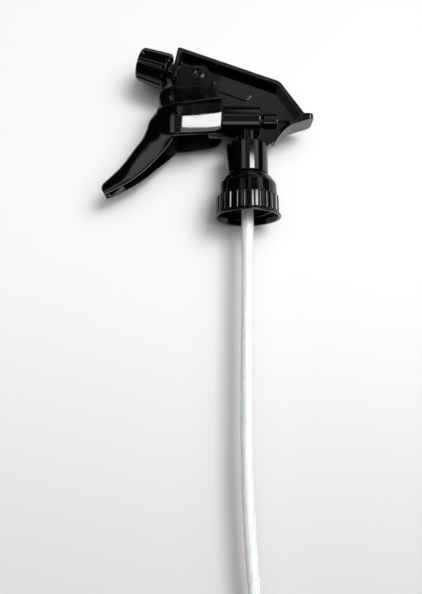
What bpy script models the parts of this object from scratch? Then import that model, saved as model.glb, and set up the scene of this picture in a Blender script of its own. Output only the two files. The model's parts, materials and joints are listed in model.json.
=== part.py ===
"""Trigger sprayer head with a ribbed 28 mm closure and a dip tube, as separate pieces.

Frame: +Z up along the neck, the nozzle towards -X and the hand saddle towards +X. The origin is on the
neck's axis, at the gasket's face that lands on the bottle. Everything is in metres.
"""

import math

import bmesh
import bpy
from mathutils import Matrix, Vector

MM = 0.001

# Housing: a central web inside a flange, with the pump cylinder, the outlet duct and the neck.
WEB_HALF = 1.2 * MM
FLANGE_HALF = 6.7 * MM
FLANGE_WALL = 2.0 * MM
FRONT_LOW = (-39.6 * MM, 57.6 * MM)
TOP_FRONT = (-35.5 * MM, 75.9 * MM)
TOP_REAR = (16.5 * MM, 57.0 * MM)
SLOPE_END = (28.9 * MM, 39.8 * MM)
SADDLE_CURVE = (  # x and z of the surface that meets the hand, in millimetres
    (14.2, 25.6), (15.6, 28.0), (17.4, 30.4), (19.6, 32.3),
    (22.3, 33.7), (25.6, 34.9), (29.5, 36.1), (33.7, 37.4),
)
SADDLE_WALL = 2.1 * MM
SADDLE_TOP = 40.0 * MM
SADDLE_HALF = 6.7 * MM
DUCT_HALF = 5.3 * MM
BLOCK_HALF = 4.6 * MM

# Pump: a cylinder along X, its piston, seals and spring.
PUMP_Z = 37.7 * MM
CYLINDER_R = 8.2 * MM
CYLINDER_BORE_R = 6.8 * MM
CYLINDER_FRONT = -20.0 * MM
CYLINDER_REAR = 6.6 * MM
CYLINDER_FLOOR = 5.0 * MM
PLUG_R = 3.9 * MM
PLUG_REAR = 15.4 * MM
PISTON_REAR = -10.6 * MM

# Neck, closure and the pieces inside them.
NECK_R = 10.65 * MM
NECK_LOW, NECK_TOP = 9.3 * MM, 25.0 * MM
THROAT_R = 9.4 * MM
CLOSURE_RIM_R = 17.0 * MM
CLOSURE_LOW, CLOSURE_TOP = -13.0 * MM, 8.2 * MM
CLOSURE_BORE_R = 14.15 * MM
CLOSURE_CEILING = 3.35 * MM
CLOSURE_HOLE_R = 9.8 * MM
RIB_COUNT = 28
THREAD_PITCH = 4.23 * MM
THREAD_DEPTH = 0.95 * MM
SPIGOT_R = 7.6 * MM
SPIGOT_TOP = 12.0 * MM
TUBE_R, TUBE_BORE_R = 3.1 * MM, 2.1 * MM
TUBE_ROUTE = (
    (0.0, 8.2), (0.0, -6.0), (-0.45, -45.0), (-1.0, -90.0), (-1.2, -130.0),
    (-0.1, -165.0), (2.0, -195.0), (5.4, -235.0),
)  # x and z of the tube's middle line, in millimetres
TUBE_TOP = TUBE_ROUTE[0][1] * MM
BALL_SEAT_R = 1.5 * MM
INLET_BALL_R = 2.0 * MM

# Nozzle: everything on one axis that rises towards the front.
NOZZLE_BASE = Vector((-37.2 * MM, 0.0, 64.1 * MM))
NOZZLE_TILT = math.radians(18.5)
SPUD_R = 5.25 * MM
SPUD_TIP_R = 4.6 * MM
SPUD_LENGTH = 15.0 * MM
CAP_REAR, CAP_FRONT = 4.0 * MM, 19.6 * MM
CAP_REAR_R, CAP_FRONT_R = 9.3 * MM, 8.3 * MM
CAP_FLUTES = 12
OUTLET_BORE_R = 1.1 * MM
CHAMBER_R = 2.4 * MM
CHAMBER_FROM = 2.0 * MM
OUTLET_BALL_R = 1.75 * MM

# Trigger: two ears on the housing's trunnions, wings beside the cylinder and a finger lever.
PIVOT = Vector((-25.2 * MM, 0.0, 59.1 * MM))
TRUNNION_R = 2.25 * MM
EAR_HOLE_R = 2.4 * MM
EAR_RING_R = 3.3 * MM
EAR_INNER, EAR_OUTER = 9.2 * MM, 10.9 * MM
TRIGGER_WALL = 1.7 * MM
PUSH_PAD_X = -43.4 * MM
LEVER = (  # front edge x and z, rear edge x and z, half width, in millimetres, from the top to the tip
    (-42.7, 52.8, -36.9, 52.2, 9.6), (-46.1, 49.6, -37.4, 48.0, 10.3), (-45.6, 44.2, -36.6, 43.0, 10.4),
    (-47.2, 40.0, -36.0, 38.0, 12.4), (-50.0, 35.5, -36.0, 31.4, 12.8), (-51.6, 30.6, -37.2, 25.6, 11.6),
    (-54.0, 26.0, -41.7, 19.9, 9.4), (-58.1, 21.3, -46.9, 14.9, 7.6), (-61.6, 16.8, -52.9, 9.4, 6.5),
    (-65.7, 12.0, -59.3, 4.8, 5.8), (-70.6, 7.2, -65.0, 1.6, 5.6), (-73.7, 4.2, -69.5, -0.7, 5.4),
    (-74.3, 2.0, -72.4, -1.8, 5.2),
)
WING = (  # x, top z, bottom z, and half widths at the top, middle and bottom, in millimetres
    (-45.6, 41.6, 27.8, 9.0, 10.2, 9.0), (-42.2, 41.9, 26.4, 11.5, 12.3, 11.1),
    (-38.6, 42.1, 25.8, 13.1, 13.8, 12.4), (-34.8, 42.9, 25.9, 13.5, 14.2, 12.8),
    (-28.0, 44.3, 26.5, 12.7, 13.4, 12.1), (-22.0, 45.5, 27.2, 12.0, 12.7, 11.4),
    (-16.8, 46.5, 27.9, 11.4, 12.1, 10.8), (-14.2, 46.9, 29.1, 11.1, 11.8, 10.6),
    (-12.7, 47.1, 31.8, 10.9, 11.6, 10.5),
)

ROUND = 28  # sides of a turned piece
SMALL_ROUND = 20


# ---- scene, materials and meshes ----


def clear_scene():
    for obj in list(bpy.data.objects):
        bpy.data.objects.remove(obj)


def surface(name, colour, roughness, metallic=0.0):
    material = bpy.data.materials.new(name)
    material.use_nodes = True
    shader = material.node_tree.nodes["Principled BSDF"]
    shader.inputs["Base Color"].default_value = (*colour, 1.0)
    shader.inputs["Roughness"].default_value = roughness
    shader.inputs["Metallic"].default_value = metallic
    return material


def piece(name, bm, material=None, place=None):
    """A new object from a bmesh, which it frees, with its faces outward and round faces smooth."""
    bmesh.ops.recalc_face_normals(bm, faces=bm.faces)
    mesh = bpy.data.meshes.new(name)
    bm.to_mesh(mesh)
    bm.free()
    mesh.shade_smooth()
    mesh.set_sharp_from_angle(angle=math.radians(35))
    obj = bpy.data.objects.new(name, mesh)
    bpy.context.scene.collection.objects.link(obj)
    if place is not None:
        obj.matrix_world = place
    if material is not None:
        mesh.materials.append(material)
    return obj


def combine(target, tools, operation):
    """Joins the tools to the target, or cuts them from it, and removes them."""
    for tool in tools:
        modifier = target.modifiers.new("combine", "BOOLEAN")
        modifier.operation = operation
        modifier.solver = "MANIFOLD"
        modifier.object = tool
    bpy.context.view_layer.update()
    graph = bpy.context.evaluated_depsgraph_get()
    mesh = bpy.data.meshes.new_from_object(target.evaluated_get(graph))
    target.modifiers.clear()
    target.data = mesh
    for tool in tools:
        bpy.data.objects.remove(tool)
    mesh.shade_smooth()
    mesh.set_sharp_from_angle(angle=math.radians(35))
    return target


# ---- outlines and solids ----


def arc(centre, radius, start, end, steps):
    return [
        (
            centre[0] + radius * math.cos(start + (end - start) * i / steps),
            centre[1] + radius * math.sin(start + (end - start) * i / steps),
        )
        for i in range(steps + 1)
    ]


def rounded(points, radius, steps=4):
    """The outline with each corner replaced by a fillet of about this radius."""
    outline = []
    for i, point in enumerate(points):
        here = Vector(point)
        before, after = Vector(points[i - 1]) - here, Vector(points[(i + 1) % len(points)]) - here
        reach = min(radius, 0.45 * before.length, 0.45 * after.length)
        start, end = here + before.normalized() * reach, here + after.normalized() * reach
        for k in range(steps + 1):
            t = k / steps
            outline.append(tuple((1 - t) ** 2 * start + 2 * t * (1 - t) * here + t * t * end))
    return outline


def box_outline(left, right, low, high):
    return [(left, low), (right, low), (right, high), (left, high)]


def offset_line(start, end, distance):
    """The line moved to the right of its direction."""
    along = (Vector(end) - Vector(start)).normalized()
    side = Vector((along.y, -along.x)) * distance
    return Vector(start) + side, Vector(end) + side


def crossing(line_a, line_b):
    (p, q), (r, s) = line_a, line_b
    d, e = q - p, s - r
    t = ((r - p).x * e.y - (r - p).y * e.x) / (d.x * e.y - d.y * e.x)
    return tuple(p + d * t)


def prism(outline, low, high, axis="Y"):
    """A solid with this outline, in x and z or in x and y, from low to high along the other axis."""
    bm = bmesh.new()
    rings = []
    for level in (low, high):
        points = [(a, level, b) if axis == "Y" else (a, b, level) for a, b in outline]
        rings.append([bm.verts.new(point) for point in points])
    bm.faces.new(rings[0])
    bm.faces.new(list(reversed(rings[1])))
    for i in range(len(outline)):
        j = (i + 1) % len(outline)
        bm.faces.new((rings[0][i], rings[1][i], rings[1][j], rings[0][j]))
    return bm


def skin(rings, closed_ends=True):
    """A solid through rings of points that all have the same count."""
    bm = bmesh.new()
    verts = [[bm.verts.new(point) for point in ring] for ring in rings]
    for lower, upper in zip(verts, verts[1:]):
        for i in range(len(lower)):
            j = (i + 1) % len(lower)
            bm.faces.new((lower[i], lower[j], upper[j], upper[i]))
    if closed_ends:
        bm.faces.new(verts[0])
        bm.faces.new(list(reversed(verts[-1])))
    return bm


def turned(profile, sides=ROUND, swell=None):
    """A solid of revolution about local Z. The profile's (radius, height) points run round a ring, or from
    axis to axis. swell(angle, radius, height) may give another radius."""
    bm = bmesh.new()
    columns = []
    for i in range(sides):
        angle = 2 * math.pi * i / sides
        column = []
        for radius, height in profile:
            r = swell(angle, radius, height) if swell else radius
            column.append((r * math.cos(angle), r * math.sin(angle), height))
        columns.append(column)
    on_axis = {k: bm.verts.new((0, 0, h)) for k, (r, h) in enumerate(profile) if r < 1e-7}
    verts = [
        [on_axis.get(k) or bm.verts.new(point) for k, point in enumerate(column)] for column in columns
    ]
    count = len(profile)
    spans = count - 1 if on_axis else count
    for i in range(sides):
        here, there = verts[i], verts[(i + 1) % sides]
        for k in range(spans):
            m = (k + 1) % count
            corners = [here[k], there[k], there[m], here[m]]
            unique = list(dict.fromkeys(corners))
            if len(unique) > 2:
                bm.faces.new(unique)
    return bm


def rod(radius, low, high, sides=SMALL_ROUND):
    return turned([(0, low), (radius, low), (radius, high), (0, high)], sides)


def coil(radius, wire, low, high, turns, steps, sides):
    """A spring about local Z, its ends closed flat."""
    rings = []
    total = round(turns * steps)
    for i in range(total + 1):
        angle = 2 * math.pi * i / steps
        climb = min(max(i / total * 1.24 - 0.12, 0.0), 1.0)
        height = low + wire + (high - low - 2 * wire) * climb
        outward = Vector((math.cos(angle), math.sin(angle), 0))
        middle = outward * radius + Vector((0, 0, height))
        rings.append([
            middle + wire * (outward * math.cos(a) + Vector((0, 0, math.sin(a))))
            for a in (2 * math.pi * k / sides for k in range(sides))
        ])
    return skin(rings)


def ball(radius, steps=6):
    angles = [math.pi * i / steps for i in range(1, steps)]
    middle = [(radius * math.sin(a), -radius * math.cos(a)) for a in angles]
    return turned([(0, -radius), *middle, (0, radius)], 2 * steps)


# ---- places ----


def along_x(x=0.0, z=PUMP_Z):
    """Local Z becomes world +X."""
    return Matrix.Translation((x, 0, z)) @ Matrix.Rotation(math.pi / 2, 4, "Y")


def along_y(at):
    """Local Z becomes world -Y."""
    return Matrix.Translation(at) @ Matrix.Rotation(math.pi / 2, 4, "X")


def along_nozzle(distance=0.0):
    """Local Z becomes the spray direction."""
    turn = Matrix.Rotation(NOZZLE_TILT - math.pi / 2, 4, "Y")
    return Matrix.Translation(NOZZLE_BASE) @ turn @ Matrix.Translation((0, 0, distance))


# ---- the pieces ----


def flange_outline():
    """The edge strip: down the front, along the top and down the rear slope."""
    outer = [FRONT_LOW, TOP_FRONT, TOP_REAR, SLOPE_END]
    lines = [offset_line(a, b, FLANGE_WALL) for a, b in zip(outer, outer[1:])]
    corners = [crossing(lines[1], lines[2]), crossing(lines[0], lines[1])]
    return outer + [tuple(lines[2][1]), *corners, tuple(lines[0][0])]


def saddle():
    """The curved rest for the web of the hand, wide at its tip and narrow at its low end."""
    curve = [Vector(point) * MM for point in SADDLE_CURVE]
    back = []
    for i, point in enumerate(curve[:-2]):
        along = (curve[i + 1] - curve[max(i - 1, 0)]).normalized()
        back.append(point + Vector((-along.y, along.x)) * SADDLE_WALL)
    tip_x, corner = curve[-1].x, 2.4 * MM
    top = [(tip_x, SADDLE_TOP - 0.6 * MM), (tip_x - 0.6 * MM, SADDLE_TOP), (27.6 * MM, SADDLE_TOP)]
    plate = piece("saddle", prism([tuple(p) for p in curve] + top + [tuple(p) for p in reversed(back)],
                                  -SADDLE_HALF, SADDLE_HALF))
    half = [(11 * MM, 2.6 * MM), (16.4 * MM, 2.9 * MM), (20 * MM, 5.7 * MM), (22.5 * MM, SADDLE_HALF)]
    half += arc((tip_x - corner, SADDLE_HALF - corner), corner, math.pi / 2, 0, 5)
    plan = half + [(x, -y) for x, y in reversed(half)]
    return combine(plate, [piece("plan", prism(plan, 15 * MM, 50 * MM, "Z"))], "INTERSECT")


def web_outline():
    inside = 0.8 * MM
    return [
        (FRONT_LOW[0] + inside, FRONT_LOW[1] + inside),
        (TOP_FRONT[0] + inside, TOP_FRONT[1] - inside),
        (TOP_REAR[0] - inside, TOP_REAR[1] - inside),
        (SLOPE_END[0] - inside, SLOPE_END[1] - inside),
        (16.0 * MM, 30.8 * MM),
        (13.0 * MM, 26.6 * MM),
        (10.0 * MM, 24.4 * MM),
        (0.0, 24.0 * MM),
        (0.0, PUMP_Z),
        (-19.0 * MM, PUMP_Z),
        (-19.0 * MM, 45.0 * MM),
        (-31.0 * MM, 53.0 * MM),
    ]


def duct_line(x, lift=0.0):
    """Height of the nozzle's axis, or of a line above it, over the housing at this x."""
    return NOZZLE_BASE.z - (x - NOZZLE_BASE.x) * math.tan(NOZZLE_TILT) + lift


def make_body(black):
    """The housing, one moulding."""
    body = piece("body", prism(web_outline(), -WEB_HALF, WEB_HALF), black)
    front, rear = NOZZLE_BASE.x + 0.5 * MM, 6.0 * MM
    block = [
        (front, duct_line(front, 2.2 * MM)), (2.6 * MM, duct_line(2.6 * MM, -0.2 * MM)), (rear, 47.6 * MM),
        (rear, PUMP_Z), (-18.0 * MM, PUMP_Z), (-18.0 * MM, 45.2 * MM), (front, duct_line(front, -4.6 * MM)),
    ]
    duct = [
        (front, duct_line(front, 3.2 * MM)), (2.8 * MM, duct_line(2.8 * MM, -0.4 * MM)),
        (-0.6 * MM, duct_line(-0.6 * MM, -5.0 * MM)), (front, duct_line(front, -3.4 * MM)),
    ]
    boss = rod(4.4 * MM, -8.8 * MM, 8.8 * MM)
    pins = rod(TRUNNION_R, -(EAR_OUTER + 0.3 * MM), EAR_OUTER + 0.3 * MM, 24)
    rib = box_outline(PLUG_REAR + 0.4 * MM, 26.4 * MM, 37.1 * MM, 38.3 * MM)
    neck = [
        (0, 3.4 * MM), (THROAT_R, 3.4 * MM), (THROAT_R, NECK_LOW - 0.4 * MM), (NECK_R, NECK_LOW),
        (NECK_R, NECK_TOP - 0.8 * MM), (NECK_R - 0.8 * MM, NECK_TOP), (7.0 * MM, NECK_TOP),
        (7.0 * MM, PUMP_Z - 3.3 * MM), (0, PUMP_Z - 3.3 * MM),
    ]
    spud = [
        (0, -3 * MM), (SPUD_R, -3 * MM), (SPUD_R, 11.6 * MM), (SPUD_TIP_R, 11.9 * MM),
        (SPUD_TIP_R, SPUD_LENGTH), (0, SPUD_LENGTH),
    ]
    combine(body, [
        piece("flange", prism(flange_outline(), -FLANGE_HALF, FLANGE_HALF)),
        saddle(),
        piece("block", prism(block, -BLOCK_HALF, BLOCK_HALF)),
        piece("duct", prism(rounded(duct, 1.5 * MM, 3), -DUCT_HALF, DUCT_HALF)),
        piece("boss", boss, place=along_y(PIVOT)),
        piece("pins", pins, place=along_y(PIVOT)),
        piece("rib", prism(rib, -3.2 * MM, 3.2 * MM)),
        piece("neck", turned(neck, 32)),
        piece("cylinder", rod(CYLINDER_R, CYLINDER_FRONT, CYLINDER_REAR, 32), place=along_x()),
        piece("spud", turned(spud, 24), place=along_nozzle()),
    ], "UNION")
    return combine(body, body_cutters(), "DIFFERENCE")


def body_cutters():
    """The bores: neck, valve chamber, ports, cylinder, plug seat, outlet and spring chamber."""
    over = 1.0 * MM
    socket_r, step = SPIGOT_R + 0.3 * MM, SPIGOT_TOP + 0.3 * MM
    neck_bore = [
        (0, 3.4 * MM - over), (socket_r, 3.4 * MM - over), (socket_r, step),
        (4.6 * MM, step), (4.6 * MM, 19 * MM), (0, 19 * MM),
    ]
    cylinder_bore = [
        (0, CYLINDER_FRONT - over), (CYLINDER_BORE_R, CYLINDER_FRONT - over),
        (CYLINDER_BORE_R, CYLINDER_FLOOR), (0, CYLINDER_FLOOR),
    ]
    outlet_x = 3.2 * MM
    outlet_length = (NOZZLE_BASE - Vector((outlet_x, 0, duct_line(outlet_x)))).length
    half = PLUG_R + 0.3 * MM
    seat = box_outline(CYLINDER_REAR - 0.05 * MM, PLUG_REAR + 0.4 * MM, PUMP_Z - half, PUMP_Z + half)
    inlet = rod(1.3 * MM, 18 * MM, PUMP_Z - 4 * MM, 12)
    outlet = rod(OUTLET_BORE_R, -outlet_length, CHAMBER_FROM + over, 10)
    return [
        piece("neck_bore", turned(neck_bore, 24)),
        piece("inlet_port", inlet, place=Matrix.Translation((1.6 * MM, 0, 0))),
        piece("cylinder_bore", turned(cylinder_bore, ROUND), place=along_x()),
        piece("plug_hole", rod(2.3 * MM, 0, PLUG_REAR, 16), place=along_x()),
        piece("plug_seat", prism(seat, -5 * MM, 5 * MM)),
        piece("outlet_port", rod(OUTLET_BORE_R, PUMP_Z + 5 * MM, duct_line(outlet_x), 10),
              place=Matrix.Translation((outlet_x, 0, 0))),
        piece("outlet_bore", outlet, place=along_nozzle()),
        piece("chamber", rod(CHAMBER_R, CHAMBER_FROM, SPUD_LENGTH + over, 16), place=along_nozzle()),
    ]


def channel_ring(station):
    """One U-shaped section of the lever: rounded at the finger side and open at the back."""
    front_x, front_z, rear_x, rear_z, half = (value * MM for value in station)
    front = Vector((front_x, 0, front_z))
    depth = Vector((rear_x, 0, rear_z)) - front
    length, into = depth.length, depth.normalized()
    corner = (3.4 if rear_z < 36 * MM else 4.8) * MM
    flare = 1.2 * MM + 0.6 * max(half - 9.0 * MM, 0.0)
    floor = 2.4 * MM if front_z > 3 * MM else length - 0.4 * MM
    turn = 1.2
    for _ in range(4):
        start = corner * (1 - math.cos(turn))
        turn = math.atan2(length - start, 2 * flare)
    centre = half - flare - corner * math.sin(turn)
    outline = []
    for a in (0, turn / 3, 2 * turn / 3, turn):
        outline.append((corner - corner * math.cos(a), centre + corner * math.sin(a)))
    for u in (0.33, 0.66, 1.0):
        outline.append((start + (length - start) * u, half - flare * (1 - u) ** 2))
    middle = max(0.5 * (start + length), floor + 0.1 * MM)
    share = (length - middle) / (length - start)
    outline += [
        (length, half - TRIGGER_WALL), (middle, half - flare * share ** 2 - TRIGGER_WALL - 0.1 * MM),
        (floor, half - flare - 0.35 * corner - TRIGGER_WALL),
    ]
    outline += [(t, -y) for t, y in reversed(outline)]
    return [front + into * t + Vector((0, y, 0)) for t, y in outline]


def wing_ring(station, side):
    """One section of a wing: a thin shell that bulges beside the pump cylinder."""
    x, top, bottom, half_top, half_middle, half_bottom = (value * MM for value in station)
    steps = 8
    outer = []
    for i in range(steps + 1):
        t = i / steps
        lift = 4 * t * (1 - t)
        half = half_top * (1 - t) + half_bottom * t + (half_middle - 0.5 * (half_top + half_bottom)) * lift
        outer.append((half, top + (bottom - top) * t))
    inner = [(half - TRIGGER_WALL, z) for half, z in reversed(outer)]
    return [Vector((x, side * half, z)) for half, z in outer + inner]


def make_trigger(black):
    """The finger lever with its ears, wings and push pad, one moulding."""
    trigger = piece("trigger", skin([channel_ring(station) for station in LEVER]), black)
    ear = [(-38.2 * MM, 51.1 * MM), (-34.1 * MM, 63.3 * MM), (-21.2 * MM, 63.3 * MM), (-15.7 * MM, 53.3 * MM)]
    strip = [
        (-41.8 * MM, 41.6 * MM), (-41.8 * MM, 51.2 * MM), (-38.0 * MM, 53.0 * MM),
        (-16.4 * MM, 54.4 * MM), (-13.4 * MM, 47.6 * MM), (-13.4 * MM, 45.2 * MM),
    ]
    parts = []
    for side in (-1, 1):
        parts.append(piece("wing", skin([wing_ring(station, side) for station in WING])))
        low, high = sorted((side * EAR_INNER, side * (EAR_OUTER - 0.8 * MM)))
        parts.append(piece("strip", prism(strip, low, high)))
        low, high = sorted((side * EAR_INNER, side * EAR_OUTER))
        parts.append(piece("ear", prism(rounded(ear, 2.4 * MM, 4), low, high)))
        low, high = sorted((-side * EAR_INNER, -side * (EAR_OUTER + 0.6 * MM)))
        parts.append(piece("ring", rod(EAR_RING_R, low, high, 28), place=along_y(PIVOT)))
    pad = [
        (PUSH_PAD_X - 5 * MM, PUMP_Z - 8 * MM), (PUSH_PAD_X, PUMP_Z - 5 * MM),
        (PUSH_PAD_X, PUMP_Z + 4 * MM), (PUSH_PAD_X - 1.2 * MM, PUMP_Z + 5.5 * MM),
    ]
    parts.append(piece("pad", prism(pad, -2.2 * MM, 2.2 * MM)))
    combine(trigger, parts, "UNION")
    hole = rod(EAR_HOLE_R, -20 * MM, 20 * MM, 24)
    combine(trigger, [piece("hole", hole, place=along_y(PIVOT))], "DIFFERENCE")
    return origin_at(trigger, PIVOT)


def origin_at(obj, point):
    """Moves the object's origin, leaving its shape where it is."""
    obj.data.transform(Matrix.Translation(-point) @ obj.matrix_world)
    obj.matrix_world = Matrix.Translation(point)
    return obj


def make_pump(black, white, rubber, steel):
    """Plug, piston, its two seals and the return spring, turned about the cylinder's axis."""
    plug = [
        (0, CYLINDER_FLOOR - 0.2 * MM), (2.0 * MM, CYLINDER_FLOOR - 0.2 * MM), (2.0 * MM, 7.0 * MM),
        (PLUG_R - 0.6 * MM, 7.0 * MM), (PLUG_R - 0.6 * MM, 8.2 * MM), (PLUG_R, 8.4 * MM),
        (PLUG_R, PLUG_REAR - 0.5 * MM), (PLUG_R - 0.5 * MM, PLUG_REAR), (0, PLUG_REAR),
    ]
    piece("rear_plug", turned(plug, SMALL_ROUND), black, along_x())
    nose_r, stem_r, seal_bed_r, head_r = 2.5 * MM, 4.2 * MM, 5.0 * MM, 6.5 * MM
    nose_x = PUSH_PAD_X + 0.3 * MM + nose_r
    profile = [(0, nose_x - nose_r)]
    profile += [(nose_r * math.sin(a), nose_x - nose_r * math.cos(a)) for a in (0.4, 0.8, 1.2, 1.57)]
    profile += [
        (nose_r, nose_x + 1.5 * MM), (stem_r, nose_x + 4.5 * MM), (stem_r, -18.2 * MM), (head_r, -17.6 * MM),
        (head_r, -17.0 * MM), (seal_bed_r, -17.0 * MM), (seal_bed_r, -15.6 * MM), (head_r, -15.6 * MM),
        (head_r, -14.2 * MM), (seal_bed_r, -14.2 * MM), (seal_bed_r, -12.2 * MM), (head_r, -12.2 * MM),
        (head_r, PISTON_REAR), (3.2 * MM, PISTON_REAR), (2.8 * MM, PISTON_REAR + 4 * MM),
        (0, PISTON_REAR + 4 * MM),
    ]
    origin = profile[0][1]
    piece("piston", turned([(r, x - origin) for r, x in profile], SMALL_ROUND), white, along_x(origin))
    for name, front, rear in (("vent_seal", -16.9, -15.7), ("pressure_seal", -14.0, -12.4)):
        lip, bed = CYLINDER_BORE_R - 0.1 * MM, seal_bed_r + 0.15 * MM
        ring = [(bed, front * MM), (lip - 0.3 * MM, front * MM), (lip, rear * MM), (bed, rear * MM)]
        piece(name, turned([(r, x - front * MM) for r, x in ring], ROUND), rubber, along_x(front * MM))
    low, high = PISTON_REAR + 0.25 * MM, CYLINDER_FLOOR - 0.25 * MM
    piece("return_spring", coil(4.7 * MM, 0.45 * MM, 0, high - low, 5, 12, 5), steel, along_x(low))


def make_neck(black, white, grey, steel, milky):
    """Retainer, ball and its cage, gasket, closure and dip tube, all about the neck's axis."""
    collar_r, collar_low, flange_r = 4.5 * MM, -5.0 * MM, 13.0 * MM
    socket_r = TUBE_R + 0.1 * MM
    retainer = [
        (socket_r, collar_low), (collar_r - 0.6 * MM, collar_low), (collar_r, collar_low + 1.2 * MM),
        (collar_r, 1.6 * MM), (flange_r, 1.6 * MM), (flange_r, 3.05 * MM), (SPIGOT_R, 3.05 * MM),
        (SPIGOT_R, SPIGOT_TOP), (BALL_SEAT_R, SPIGOT_TOP), (BALL_SEAT_R, TUBE_TOP + 0.3 * MM),
        (socket_r, TUBE_TOP + 0.3 * MM),
    ]
    piece("tube_retainer", turned(retainer, ROUND), white)
    seat_height = math.sqrt(INLET_BALL_R ** 2 - BALL_SEAT_R ** 2)
    ball_z = SPIGOT_TOP + seat_height + 0.15 * MM
    piece("inlet_ball", ball(INLET_BALL_R), steel, Matrix.Translation((0, 0, ball_z)))
    cage_low, cage_top = SPIGOT_TOP + 0.3 * MM, 18.7 * MM
    cage = [
        (2.6 * MM, cage_low), (4.2 * MM, cage_low), (4.2 * MM, cage_top), (1.1 * MM, cage_top),
        (1.1 * MM, cage_top - 1.2 * MM), (2.6 * MM, cage_top - 1.2 * MM),
    ]
    cage = piece("ball_cage", turned(cage, SMALL_ROUND), white)
    slot = box_outline(1.3 * MM, 6 * MM, 14 * MM, 18 * MM)
    slots = []
    for k in range(3):
        cutter = piece("slot", prism(slot, -0.8 * MM, 0.8 * MM))
        cutter.matrix_world = Matrix.Rotation(2 * math.pi * k / 3, 4, "Z")
        slots.append(cutter)
    combine(cage, slots, "DIFFERENCE")
    gasket = [(9.0 * MM, 0), (13.6 * MM, 0), (13.6 * MM, 1.3 * MM), (9.0 * MM, 1.3 * MM)]
    piece("neck_gasket", turned(gasket, ROUND), grey)
    make_closure(black)
    make_tube(milky)


def rib_swell(angle, radius, height):
    """The closure's ribs: half of each turn's share stands proud between the two rib ends."""
    low, high = CLOSURE_LOW + 1.4 * MM, -2.4 * MM
    inside = low - 1e-6 < height < high + 1e-6 and radius > CLOSURE_BORE_R + 0.9 * MM
    if not inside:
        return radius
    share = (angle * RIB_COUNT / (2 * math.pi)) % 1.0
    return radius + (0.6 * MM if share < 0.5 else 0.0)


def make_closure(black):
    """The screw closure, with ribs outside and a thread inside. It spins on the neck's throat."""
    wall_low, bore = 15.35 * MM, CLOSURE_BORE_R
    profile = [
        (16.2 * MM, CLOSURE_LOW), (CLOSURE_RIM_R, CLOSURE_LOW), (CLOSURE_RIM_R, CLOSURE_LOW + 0.6 * MM),
        (wall_low, CLOSURE_LOW + 1.5 * MM), (15.1 * MM, -2.6 * MM), (15.1 * MM, -2.3 * MM),
        (14.6 * MM, 3.9 * MM), (13.5 * MM, 5.5 * MM), (12.8 * MM, 6.7 * MM), (11.2 * MM, CLOSURE_TOP),
        (CLOSURE_HOLE_R, CLOSURE_TOP), (CLOSURE_HOLE_R, CLOSURE_CEILING), (bore, CLOSURE_CEILING),
        (bore, CLOSURE_LOW + 2.4 * MM),
    ]
    closure = piece("closure", turned(profile, 3 * RIB_COUNT, rib_swell), black)
    steps, turns = 24, 1.25
    rings = []
    for i in range(round(steps * turns) + 1):
        angle = 2 * math.pi * i / steps
        z = -3.2 * MM - THREAD_PITCH * i / steps
        end = min(1.0, 0.2 + 0.8 * min(i, round(steps * turns) - i) / 3)
        inner = bore - THREAD_DEPTH * end
        root = bore + 0.5 * MM
        section = [(root, 1.3 * MM), (root, -1.3 * MM), (inner, -0.5 * MM), (inner, 0.5 * MM)]
        rings.append([Vector((r * math.cos(angle), r * math.sin(angle), z + dz)) for r, dz in section])
    return combine(closure, [piece("thread", skin(rings))], "UNION")


def route_point(parameter):
    """A smooth curve through the tube's route, one unit of the parameter for each of its points."""
    last = len(TUBE_ROUTE) - 1
    i = min(int(parameter), last - 1)
    t = parameter - i
    a, b, c, d = (Vector(TUBE_ROUTE[min(max(k, 0), last)]) for k in (i - 1, i, i + 1, i + 2))
    square, cube = 2 * a - 5 * b + 4 * c - d, 3 * b - a - 3 * c + d
    point = 0.5 * MM * (2 * b + (c - a) * t + square * t ** 2 + cube * t ** 3)
    return Vector((point.x, 0, point.y))


def make_tube(milky):
    """The dip tube: a hollow tube that bends a little, its lower end cut at a slant."""
    stations, sides, slant = 12, 14, 0.5
    last = len(TUBE_ROUTE) - 1
    centres = [route_point(last * i / (stations - 1)) for i in range(stations)]
    rings = []
    for radius, order in ((TUBE_R, range(stations)), (TUBE_BORE_R, reversed(range(stations)))):
        for i in order:
            before, after = centres[max(i - 1, 0)], centres[min(i + 1, stations - 1)]
            along = (after - before).normalized()
            across = Vector((-along.z, 0, along.x))
            ring = []
            for k in range(sides):
                a = 2 * math.pi * k / sides
                point = centres[i] + radius * (across * math.cos(a) + Vector((0, math.sin(a), 0)))
                if i == stations - 1:
                    point += along * radius * slant * math.cos(a)
                ring.append(point)
            rings.append(ring)
    return piece("dip_tube", skin(rings + [rings[0]], closed_ends=False), milky)


def flute_swell(angle, radius, height):
    """The cap's finger flutes, shallow at both ends."""
    if radius < CAP_FRONT_R - 0.3 * MM or not 1.0 * MM < height < CAP_FRONT - CAP_REAR - 1.0 * MM:
        return radius
    share = (angle * CAP_FLUTES / (2 * math.pi)) % 1.0
    return radius - (0.7 * MM if share > 0.7 else 0.0)


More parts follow.
